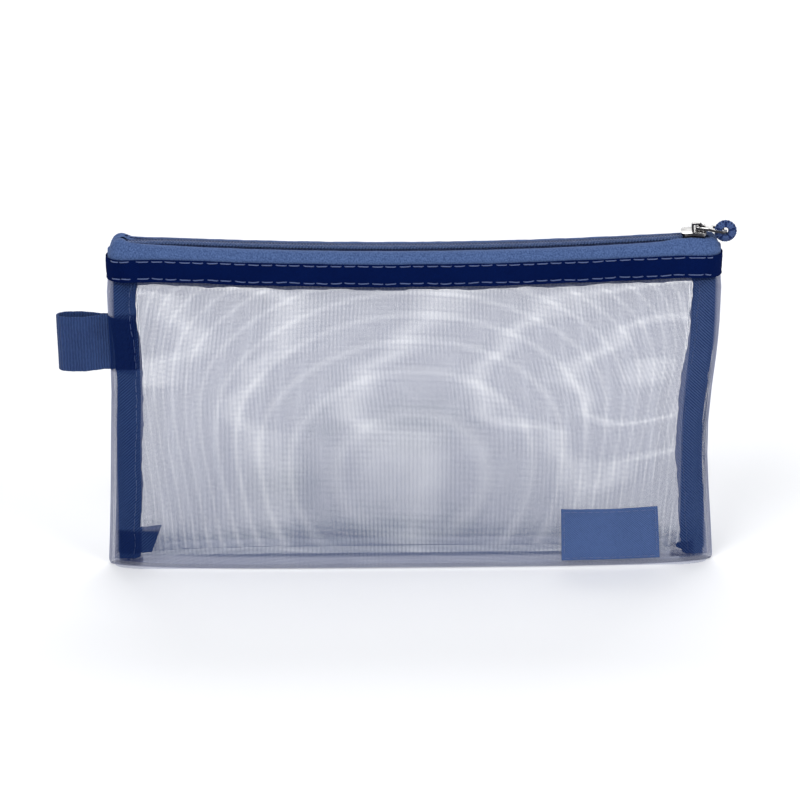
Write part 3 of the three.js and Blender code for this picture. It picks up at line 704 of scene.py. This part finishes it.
def wefts():
    tips = -1 + 0.1 * (1 - np.cos(np.linspace(0.25, pi / 2, 6)))
    stations = np.concatenate([tips, np.linspace(-0.885, 0.885, 22), -tips[::-1]])
    rows = int(threads["wallRise"] / threads["pitch"])
    for side in (1, -1):
        for k in range(-4, rows + 5):
            share = k / rows
            crowded = 1 + threads["crowding"] * ease(-k * threads["pitch"], -12, -6)
            path, up = [], []
            for t in stations:
                height = np.clip(wallShare(t, share, side), 0, 1)
                z = mix(pouch["baseEdge"], meshTop(planPoint(t, 1, 0)[0]), height)
                path.append(wallPoint(t, z, threads["depth"]) * (1, side, 1))
                up.append(wallFacing(t, z) * (1, side, 1))
            yield tubeMesh(path, *(r * crowded for r in threads["weft"]), sides=4, up=np.array(up))
    depth = pouch["baseDepth"] / 2 - pouch["baseEdge"]
    for y in np.arange(-depth, depth + 0.01, threads["pitch"]):
        reach = halfWidth * (1 - (abs(y) / (depth + 2.6)) ** 4) ** 0.25 - 1.5
        yield tubeMesh([[x, y, 0.3] for x in np.linspace(-reach, reach, 24)], *threads["weft"], sides=4)


def seamFins():
    # Seam allowance, turned in at each side: each thread is a row of distances from the edge and heights.
    top = meshTop(halfWidth - threads["seamAllowance"]) - 1
    pitch = threads["pitch"]
    crossing = [("weft", [(d, z) for d in (0.5, 4, 7.5, 10.6)]) for z in np.arange(1.5, top, pitch)]
    crossing += [("warp", [(d, z) for z in np.linspace(0.9, top, 8)])
                 for d in np.arange(0.6, threads["seamAllowance"], pitch)]
    for side in (-1, 1):
        for ply in (-1, 1):
            for kind, places in crossing:
                path = [[side * (sideEdge(z) - d), ply * threads["finHalf"], z] for d, z in places]
                yield tubeMesh(path, *threads[kind], sides=4, up=(0, 1, 0))


meshCloth = joined("meshCloth", [*warps(), *wefts(), *seamFins()], "mesh", "mesh", "mesh_body")
print("mesh threads:", len(meshCloth.data.polygons), "faces")


# Cloth strips that follow the wall

walls = {1: "front", -1: "back"}
seams = {-1: "left", 1: "right"}


class WallCloth:
    # A strip on the front wall: u runs along it, and heights are over its inner face.
    def __init__(self, limit, offset):
        self.stations = wallStations(limit)
        self.lengths = alongWall(self.stations)
        self.reach = float(self.lengths[-1])
        self.offset = offset

    def t(self, u):
        return np.interp(u, self.lengths, self.stations)

    def top(self, u):
        return bandTopAt(self.t(u))

    def us(self, step):
        return withEdges(-self.reach, self.reach, step)

    def point(self, u, z, height):
        return wallPoint(self.t(u), z, self.offset + height)


def sewOn(side, place, kind, pointAt, us, vs, **more):
    # One strip of each wall, the back one mirrored.
    name = walls[side] + place.title() + kind.title()
    strip = clothStrip(name, pointAt, us, vs, layers[kind], finish[kind], mirror=side < 0, **more)
    settle(strip, kind, f"{walls[side]}_{place}_{kind}")


def smooth(x, seed):
    # A slow wander between -1 and 1 that is the same every time.
    return (sin(x * 0.131 + seed) + 0.6 * sin(x * 0.317 + 2.3 * seed)
            + 0.35 * sin(x * 0.73 + 5.1 * seed)) / 1.95


def hump(x, middle, reach, power=2):
    return exp(-((x - middle) / reach) ** power)


def drawnIn(point, amount):
    # The ends of the band and the tape are drawn in at the seams.
    end = amount * ease(abs(point[0]), halfWidth - 6, halfWidth + 0.5)
    return np.array([point[0] - copysign(end, point[0]), point[1], point[2]])


band = {"rows": (0.7, 7.4), "drawnIn": 0.6, "waver": 0.22, "swell": 0.16, "pucker": 0.1, "puckerPitch": 5.2}
bandCloth = WallCloth(0.997, 2 * layers["gap"] + layers["tape"])


def buildBand(side, seed):
    def pointAt(u, v, height):
        edge = band["waver"] * smooth(u, seed) * (1 if v > 4 else 0.6)
        return drawnIn(bandCloth.point(u, bandCloth.top(u) - v + edge, height), band["drawnIn"])

    def relief(u, v):
        seam = sum(hump(v, row, 0.5) for row in band["rows"])
        turn = u * 2 * pi / band["puckerPitch"] + 0.8 * sin(u / 13 + seed)
        swell = band["swell"] * smooth(u * 2.2, seed + 1) * sin(pi * v / layers["bandHeight"])
        return swell + 0.1 - 0.22 * seam + band["pucker"] * sin(turn) * seam
    vs = withEdges(0, layers["bandHeight"], 0.8)
    sewOn(side, "top", "band", pointAt, bandCloth.us(1.15), vs, relief=relief)


# The tape stands up at its left end, where it hides the end of the chain, and fills the right corner. Beside
# the closed slider its front bulges up and hides the lower part of the slider.
tape = {"left": 1.4, "leftX": -112, "leftReach": 9, "right": 1.0, "rightX": 116, "rightReach": 3,
        "backDrop": 0.6, "flat": (5.5, 3.2), "wallRoom": 0.8, "besideChain": 1.6, "drawnIn": 0.5, "sewn": 1.6,
        "fold": 5.6, "pleat": 0.2, "pleatPitch": 3.1}
lip = {"x": 102.5, "reach": 8.5, "height": 1.5, "from": 4.45, "rise": 0.45, "width": 2.4}


def crest(x, side):
    front = tape["left"] * hump(x, tape["leftX"], tape["leftReach"])
    if side > 0:
        return front
    return mix(-tape["backDrop"] * ease(-x, 94, 104), front - 0.15, ease(-x, 105, 110))


def crestAtChain(x, side):
    # Where the slider passes, the tape beside the chain stays level.
    return crest(x, side) * ease(-x, 107.4, 110.4)


def lipRise(x, reach, side):
    away = reach - lip["from"]
    if side < 0 or away <= 0:
        return 0
    return (lip["height"] * hump(x, lip["x"], lip["reach"], 4) * min(away / lip["rise"], 1)
            * max(0, 1 - (away / lip["width"]) ** 2))


def tapeSection(t, side):
    # The tape's middle line across: from the chain over the shoulder and down the wall.
    top = bandTopAt(t)
    middle = layers["tape"] / 2
    x, y = wallPoint(t, top, layers["gap"] + middle)[:2]
    roof = zipperLine(x) - endDrop(x) - middle
    roof += crestAtChain(x, side) + tape["right"] * hump(x, tape["rightX"], tape["rightReach"])
    shoulder = crest(x, side) - crestAtChain(x, side)
    level = mix(*tape["flat"], min(abs(x) / halfWidth, 1) ** 3)
    flat = max(min(level, -y - tape["wallRoom"]), 2 * layers["gap"])
    beside = mix(tape["besideChain"], layers["gap"], ease(abs(x), 109.5, 112.5))
    inner = max(min(beside, flat - layers["gap"]), layers["gap"] / 2)
    edge = roof + min(0.45, (-y - flat) * 0.2)
    points = [(x, -inner, roof), (x, -mix(inner, flat, 0.5), roof), (x, -flat, edge)]
    for turn in map(radians, (82, 74, 66, 58, 50, 42, 32, 20, 10)):
        reach = flat + (-y - flat) * cos(turn)
        up = shoulder * min(max((reach - lip["from"]) / lip["rise"], 0), 1) + lipRise(x, reach, side)
        points.append((x, -reach, mix(top, edge, sin(turn)) + up))
    for drop in (0, 1.4, 2.8, 4.2):
        points.append(tuple(wallPoint(t, top - drop, layers["gap"] + middle)))
    return np.array(points)


def buildTape(side, seed):
    cloth = WallCloth(0.99, layers["gap"])
    us = cloth.us(1.2)
    sections = [tapeSection(cloth.t(u), side) for u in us]
    lengths = [lengthsAlong(section) for section in sections]
    across = max(length[-1] for length in lengths)
    vs = withEdges(0, across, 0.65)
    grid = np.array([np.column_stack([np.interp(np.array(vs) / across * length[-1], length, row)
                                      for row in section.T]) for section, length in zip(sections, lengths)])
    normal = np.cross(np.gradient(grid, axis=0), np.gradient(grid, axis=1))
    normal /= np.linalg.norm(normal, axis=2)[:, :, None]
    normal *= np.where(normal[:, :, 1:2] - normal[:, :, 2:3] > 0, -1, 1)

    def pointAt(u, v, height):
        place = us.index(u), vs.index(v)
        return drawnIn(grid[place] + normal[place] * (height - layers["tape"] / 2), tape["drawnIn"])

    def relief(u, v):
        if v > 6.5:
            return 0.0
        turn = (u - 0.8 * v) * 2 * pi / tape["pleatPitch"]
        pleats = tape["pleat"] * sin(turn) * hump(u, cloth.reach - 9, 4)
        return (0.05 * smooth(u * 2.6, seed) + 0.12 * hump(v, tape["fold"], 0.9) * smooth(u * 3.1, seed + 2)
                - 0.08 * hump(v, tape["sewn"], 0.35) + pleats)
    sewOn(side, "zipper", "tape", pointAt, us, vs, relief=relief)


def buildFacing(side, seed):
    cloth = WallCloth(0.96, -(layers["mesh"] + layers["gap"] + layers["facing"]))

    def pointAt(u, v, height):
        edge = 0.5 * smooth(u * 1.4, seed) if v > 6 else 0
        return cloth.point(u, cloth.top(u) - 1 - v + edge, height)
    vs = withEdges(0, layers["bandHeight"] + layers["facingBelowBand"] - 1, 1.2)
    sewOn(side, "inner", "facing", pointAt, cloth.us(2.0), vs, roundEdge=0.3)


for side, seed in ((1, 0.6), (-1, 2.9)):
    buildBand(side, seed)
    buildTape(side, seed)
    buildFacing(side, seed)
print("bands, tapes and facings built")


# Label patch

label = {"width": 38, "height": 21.5, "centreX": 76.6, "bottom": 3.4, "hem": 1.6, "sag": 0.35}
labelEnds = [tForX(label["centreX"] + way * label["width"] / 2, 0.1) for way in (-1, 1)]


def labelPoint(u, v, height):
    sag = label["sag"] * sin(pi * u / label["width"])
    z = label["bottom"] + label["height"] - v - sag * (1 - v / label["height"])
    return wallPoint(mix(*labelEnds, u / label["width"]), z, layers["gap"] + height)


def labelRelief(u, v):
    edge = min(u, v, label["width"] - u, label["height"] - v)
    return 0.16 / (1 + exp((edge - label["hem"]) / 0.12)) + 0.05 * smooth(u * 3 + v * 2, 1.3)


labelSteps = [withEdges(0, label[way], 0.8) for way in ("width", "height")]
labelPatch = clothStrip("labelPatch", labelPoint, *labelSteps, layers["label"], finish["label"],
                        relief=labelRelief)
settle(labelPatch, "label", "label_patch")


# Seam bindings, folded round the seam allowance, with their ends turned in at the bottom

binding = {"inset": 2.5, "width": 9.6, "half": 1.6, "thickness": 0.5, "bottom": 2.6, "splay": 1.3,
           "sewn": 7.4, "seeds": {-1: 1.1, 1: 4.2}}
bindingLeg = binding["width"] - binding["half"]
bindingTurn = pi * binding["half"]
bindingAcross = 2 * bindingLeg + bindingTurn
bindingTop = bandTop(halfWidth - binding["inset"]) - 2
# Corners of each folded end: distance from the side edge, and height.
tails = {-1: [(9.8, 4.7), (9.8, 15.3), (20.2, 16.4), (16.7, 5)],
         1: [(9.8, 3.4), (9.8, 8.8), (14.6, 6.6), (14.0, 5.2)]}


def bindingPoint(side, z, v, height):
    seed = binding["seeds"][side]
    reach = bindingLeg + 0.45 * smooth(z * 1.7, seed)
    edge = sideEdge(z) - binding["inset"] + binding["splay"] * ease(z, 74, 106)
    edge += 0.12 * smooth(z * 2.3, seed + 1)
    radius = binding["half"] + height - binding["thickness"] / 2
    if v <= bindingLeg:
        d, y = reach * v / bindingLeg, -radius
    elif v < bindingLeg + bindingTurn:
        angle = (v - bindingLeg) / binding["half"]
        d, y = reach + radius * sin(angle), -radius * cos(angle)
    else:
        d, y = reach * (bindingAcross - v) / bindingLeg, radius
    return np.array([side * (edge - d), y, z])


def buildBinding(side):
    def relief(u, v):
        sewn = hump(min(v, bindingAcross - v), binding["sewn"], 0.4)
        return (0.06 * smooth(u * 2.4 + v, binding["seeds"][side])
                - 0.1 * sewn * (0.6 + 0.4 * sin(u * 2 * pi / 3.2)))

    def tailAt(u, v, height):
        a, b, c, e = np.array(tails[side])
        d, z = (a * (1 - v) + b * v) * (1 - u) + (e * (1 - v) + c * v) * u
        lift = 0.25 * sin(u * 2.6) * (0.4 + 0.6 * v)
        y = -(binding["half"] + 0.02 + height - binding["thickness"] / 2) - lift * 0.5
        return np.array([side * (sideEdge(z) - d), y, z])

    bend = bindingLeg + bindingTurn
    vs = sorted({*withEdges(0, bindingLeg, 0.9), *np.linspace(bindingLeg, bend, 9),
                 *withEdges(bend, bindingAcross, 0.9)})
    vs = [v for k, v in enumerate(vs) if k == 0 or v - vs[k - 1] > 0.02]
    material = finish["binding" + seams[side].title()]
    us = withEdges(binding["bottom"], bindingTop, 1.1)
    strip = clothStrip(seams[side] + "SeamBinding", lambda *place: bindingPoint(side, *place), us, vs,
                       binding["thickness"], material, relief=relief)
    settle(strip, "binding", seams[side] + "_seam_binding")
    steps = withEdges(0, 1, 0.12, edge=0.05)
    tail = clothStrip(seams[side] + "BindingTail", tailAt, steps, steps, binding["thickness"] * 0.9, material,
                      roundEdge=0.05)
    for entry in tail.data.uv_layers["lay"].uv:
        entry.vector = (entry.vector[0] * 8, entry.vector[1] * 9)
    settle(tail, "binding")


for side in seams:
    buildBinding(side)
print("label and bindings built")


# Webbing: one strip from inside the seam, round the eye and back

webbing = {"width": 22, "thickness": 0.9, "centreZ": 91.5, "reach": 18.8, "eyeHalfGap": 2.7, "sewn": 9,
           "rootHalf": 0.6, "waver": 0.12}


def buildWebbing():
    # Middle line in plan, front ply first, from the sewn end out to the far end of the eye and back.
    gap = webbing["eyeHalfGap"] + webbing["thickness"] / 2
    centre = -halfWidth - webbing["reach"] + webbing["eyeHalfGap"] + webbing["thickness"]
    ply = [(-halfWidth + webbing["sewn"], -webbing["rootHalf"]), (-halfWidth - 1.2, -webbing["rootHalf"]),
           (-halfWidth - 4.6, -mix(webbing["rootHalf"], gap, 0.62)), (-halfWidth - 8, -gap)]
    for k in range(1, 7):
        angle = pi / 2 * k / 6
        ply.append((centre - gap * sin(angle), -gap * cos(angle)))
    line = np.array(ply + [(x, -y) for x, y in ply[::-1][1:]])
    corners = lengthsAlong(line)
    length = np.linspace(0, corners[-1], 120)
    path = np.column_stack([np.interp(length, corners, row) for row in line.T])
    for _ in range(6):
        path[1:-1] = (path[:-2] + 2 * path[1:-1] + path[2:]) / 4
    along = np.gradient(path, axis=0)
    along /= np.hypot(*along.T)[:, None]

    def pointAt(u, v, height):
        x, y, tx, ty = (np.interp(u, length, row) for row in (*path.T, *along.T))
        lift = height - webbing["thickness"] / 2
        edge = webbing["waver"] * smooth(u * 4, 0.4)
        return np.array([x - ty * lift, y + tx * lift, webbing["centreZ"] + webbing["width"] / 2 - v + edge])

    us = withEdges(0, length[-1], 0.28)
    vs = withEdges(0, webbing["width"], 1.1)
    strip = clothStrip("webbingStrap", pointAt, us, vs, webbing["thickness"], finish["webbing"])
    draped(strip)
    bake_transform(strip)
    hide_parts("webbing_loop", "webbing_tail")


buildWebbing()
print("webbing built")


# Stitches: each one a thread that dives into the cloth at both ends

stitch = {"pitch": 5.2, "dash": 4.0, "radius": 0.25, "sink": 0.35, "rise": 0.12}
labelStitch = {"pitch": 3.0, "dash": 2.2, "radius": 0.16, "sink": 0.2, "inset": 1.1}
seamStitch = {"pitch": 3.2, "dash": 2.4, "radius": 0.17, "sink": 0.22}


def stitchRow(pointAt, first, last, seed, sizes):
    # pointAt(u) gives a point on the cloth's face and one just above it.
    tubes = []
    for k, start in enumerate(np.arange(first, last, sizes["pitch"])):
        start += 0.18 * sin(k * 2.7 + seed)
        face, above = np.moveaxis([pointAt(u) for u in np.linspace(start, start + sizes["dash"], 7)], 1, 0)
        normals = (above - face) / np.linalg.norm(above - face, axis=1)[:, None]
        dive = [mix(-sizes["sink"], stitch["rise"], min(1, 2.2 * sin(pi * n / 6))) for n in range(7)]
        path = face + normals * (np.array(dive) + sizes["radius"] * 0.4)[:, None]
        tubes.append(tubeMesh(path, sizes["radius"], sizes["radius"] * 0.8, up=normals + 1e-4))
    return tubes


def bandStitches(side, seed):
    tubes = []
    for down, wobble in zip(band["rows"], (0.12, 0.28)):
        def pointAt(u):
            z = bandCloth.top(u) - down + wobble * smooth(u * 1.9, seed + down)
            return [drawnIn(bandCloth.point(u, z, layers["band"] + 0.06 + up), band["drawnIn"]) * (1, side, 1)
                    for up in (0, 1)]
        tubes += stitchRow(pointAt, -bandCloth.reach + 4.5, bandCloth.reach - 8, seed + down, stitch)
    joined(walls[side] + "BandStitches", tubes, "bandStitch", "band")


def labelStitches():
    tubes = []
    inset = labelStitch["inset"]
    for upright, along in ((False, inset), (False, label["height"] - inset), (True, inset),
                           (True, label["width"] - inset)):
        def pointAt(s):
            u, v = (along, s) if upright else (s, along)
            return [labelPoint(u, v, layers["label"] + 0.14 + up) for up in (0, 1)]
        span = label["height" if upright else "width"]
        tubes += stitchRow(pointAt, inset, span - inset - 2.1, along, labelStitch)
    joined("labelStitches", tubes, "paleStitch", "label")


def seamStitches(side):
    tubes = []
    for seed, v in ((0.7, binding["sewn"]), (1.7, bindingAcross - binding["sewn"])):
        def pointAt(z):
            return [bindingPoint(side, z, v, 0.5 + up) for up in (0, 1)]
        tubes += stitchRow(pointAt, 4, bindingTop - 5, seed, seamStitch)
    joined(seams[side] + "SeamStitches", tubes, "paleStitch", "binding")


bandStitches(1, 0.3)
bandStitches(-1, 1.9)
labelStitches()
for side in seams:
    seamStitches(side)
print("stitches sewn")


# Zipper coils: a wound filament on each tape, its two rows of stitches and its filler cord

chain = {"left": -111, "right": 106.3, "pitch": 1.2, "bottom": 0.15, "top": 1.05, "outer": 2.8,
         "reach": 0.6, "thread": 0.26, "perTurn": 14, "stitchRows": (1.25, 2.15), "seamPitch": 2,
         "sunkFrom": 84, "sunk": 1.5}


def sunk(x):
    # The sewn-in end of the chain goes down between the tapes at the left.
    return chain["sunk"] * min(max((-x - chain["sunkFrom"]) / 27, 0), 1) ** 2


def chainTube(points, *radii, side, **more):
    # A tube beside the front half of the chain, with the back one mirrored.
    vertices, faces = tubeMesh(bendToZipper(points), *radii, **more)
    if side < 0:
        return vertices * (1, -1, 1), [face[::-1] for face in faces]
    return vertices, faces


def buildCoil(side, phase):
    middleY = (chain["outer"] - chain["reach"]) / 2
    halfY = (chain["outer"] + chain["reach"]) / 2 - chain["thread"]
    middleZ = (chain["bottom"] + chain["top"]) / 2
    halfZ = (chain["top"] - chain["bottom"]) / 2 - chain["thread"] * 0.9
    left, right, pitch = chain["left"], chain["right"], chain["pitch"]
    path = []
    for k in range((int((right - left) / pitch) - 1) * chain["perTurn"] + 1):
        turn = k / chain["perTurn"]
        c, s = cos(2 * pi * turn), sin(2 * pi * turn)
        x = left + (turn + phase + 0.5 + 0.1 * s * abs(c)) * pitch
        path.append((x, -middleY - halfY * copysign(abs(c) ** 0.75, c),
                     middleZ + halfZ * copysign(abs(s) ** 0.6, s) - sunk(x)))
    tubes = [chainTube(path, chain["thread"] * 1.25, chain["thread"] * 0.7, side=side, up=(0.3, 0.2, 1))]
    core = [(x, -middleY - 0.25, middleZ - sunk(x)) for x in np.linspace(left + 0.4, right - 0.4, 120)]
    tubes.append(chainTube(core, 0.62, 0.28, side=side, sides=8))
    dash = [(share, sin(pi * share)) for share in np.linspace(0, 1, 5)]
    for y in chain["stitchRows"]:
        for k, start in enumerate(np.arange(left + 1, right - 2, pitch)):
            away, top = -y - 0.12 * sin(k * 1.3), chain["top"] - 0.03 - sunk(start)
            line = [(start + 1.45 * share, away, top + 0.1 * up) for share, up in dash]
            tubes.append(chainTube(line, 0.12, 0.1, side=side, sides=5))
    # A row of stitches along the groove beside the chain, painted near-black as the groove's shade.
    seam = []
    for k, start in enumerate(np.arange(left + 0.5, right - 2, chain["seamPitch"])):
        low = 0.04 + crestAtChain(start, side) - 0.4 * ease(-start, 107, 110)
        away = -3.1 - 0.05 * sin(k * 1.7)
        line = [(start + 1.9 * share, away, low + 0.16 * up) for share, up in dash]
        seam.append(chainTube(line, 0.28, 0.22, side=side))
    wall = walls[side]
    joined(wall + "CoilSeam", seam, "grooveShade", "coil")
    joined(wall + "ZipperCoil", tubes, "coil" + wall.title(), "coil", wall + "_zipper_coil")


buildCoil(1, 0.0)
buildCoil(-1, 0.5)
print("coils wound")


# Slider and pull tab: the solid model's own shapes with softened edges

def softened(node, name, body, width):
    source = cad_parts[node]
    piece = placed(name, source.data.copy())
    piece.matrix_world = source.matrix_world.copy()
    piece.data.materials.clear()
    piece.data.materials.append(finish["metal"])
    piece.modifiers.new("weld", "WELD").merge_threshold = 0.02 * mm
    bevel = piece.modifiers.new("edges", "BEVEL")
    bevel.width = width * mm
    bevel.segments = 3
    bevel.limit_method = "ANGLE"
    bevel.angle_limit = radians(28)
    piece.data.polygons.foreach_set("use_smooth", [True] * len(piece.data.polygons))
    settle(piece, "metal", node, body=body)


softened("slider_body", "sliderBody", "slider", 0.18)
softened("pull_tab", "pullTab", "tab", 0.16)


# Cord ring: eight strands braided round a short cord that runs through the tab's eye

cord = {"ring": 2.7, "tube": 1.24, "strand": 0.36, "turns": 5, "weave": 0.16, "steps": 96, "core": 1.0,
        "darkStrands": (0, 5)}


def buildCordRing():
    centre = sum(np.array(edge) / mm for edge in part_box("cord_ring")) / 2

    def ringPoint(angle, tube, twist):
        radius = cord["ring"] + tube * cos(twist)
        return centre + (radius * cos(angle), tube * sin(twist), radius * sin(angle))

    tubes, shade = [], []
    for k in range(8):
        way = 1 if k % 2 else -1
        start = 2 * pi * (k // 2) / 4
        path = []
        for angle in np.arange(cord["steps"]) * 2 * pi / cord["steps"]:
            over = sin(4 * (cord["turns"] * angle + way * start)) * -way * cord["weave"]
            path.append(ringPoint(angle, cord["tube"] + over, way * cord["turns"] * angle + start))
        made = tubeMesh(path, cord["strand"], cord["strand"] * 0.8, closed=True, up=(0.1, 1, 0.1))
        (shade if k in cord["darkStrands"] else tubes).append(made)
    core = [ringPoint(angle, 0, 0) for angle in np.linspace(0, 2 * pi, 40, endpoint=False)]
    shade.append(tubeMesh(core, cord["core"], cord["core"], sides=10, closed=True, up=(0, 1, 0)))
    joined("cordRingShade", shade, "cordShade", "cord", body="cord")
    joined("cordRing", tubes, "cord", "cord", "cord_ring", body="cord")


buildCordRing()
print("slider, tab and cord ring built")


# Studio: pale floor, soft lights, white background to the camera

floor = {"size": 6, "colour": (0.93, 0.93, 0.935), "roughness": 0.9}
# Place, target, size and power of each light
lights = {"keyLight": ((-0.7, -1.1, 1.3), (0, 0, 0.06), (1.0, 0.8), 16),
          "fillLight": ((1.0, -0.9, 0.8), (0, 0, 0.06), (0.9, 0.9), 8),
          "backLight": ((0.1, 1.0, 1.1), (0, 0, 0.08), (1.4, 0.6), 10)}
room = {"colour": (0.8, 0.82, 0.86), "strength": 0.55}
view = {"elevation": 21.0, "azimuth": -1.3, "distance": 2.0, "lens": 235.0, "target": (-0.0055, 0.0, 0.0665)}


def aim(thing, place, target):
    thing.location = place
    thing.rotation_euler = (Vector(target) - Vector(place)).to_track_quat("-Z", "Y").to_euler()


def buildStage():
    bpy.ops.mesh.primitive_plane_add(size=floor["size"], location=(0, 0, 0))
    plane = bpy.context.object
    plane.name = "studioFloor"
    plane.data.materials.append(surface(blank("studioFloor"), floor["colour"], floor["roughness"]))
    for name, (place, target, size, power) in lights.items():
        data = bpy.data.lights.new(name, "AREA")
        data.shape = "RECTANGLE"
        data.size, data.size_y = size
        data.energy = power
        aim(placed(name, data), place, target)
    world = bpy.data.worlds.new("studio")
    bpy.context.scene.world = world
    world.use_nodes = True
    tree = world.node_tree
    tree.nodes.clear()
    path = addNode(tree, "LightPath").outputs
    seen = Value(path["Is Camera Ray"]).calc("MAXIMUM", Value(path["Is Glossy Ray"]))
    lit = addNode(tree, "Background", {"Color": room["colour"], "Strength": room["strength"]})
    white = addNode(tree, "Background", {"Color": (1, 1, 1), "Strength": 1.0})
    both = addNode(tree, "MixShader", {0: seen, 1: Value(lit.outputs[0]), 2: Value(white.outputs[0])})
    addNode(tree, "OutputWorld", {0: Value(both.outputs[0])})


def buildCamera():
    camera = placed("camera", bpy.data.cameras.new("camera"))
    camera.data.lens = view["lens"]
    camera.data.sensor_width = 36
    rise, turn = radians(view["elevation"]), radians(view["azimuth"])
    away = Vector((sin(turn) * cos(rise), -cos(turn) * cos(rise), sin(rise)))
    aim(camera, Vector(view["target"]) + away * view["distance"], view["target"])
    bpy.context.scene.camera = camera


buildStage()
buildCamera()
bpy.context.scene.view_settings.view_transform = "Standard"
print("studio set up")
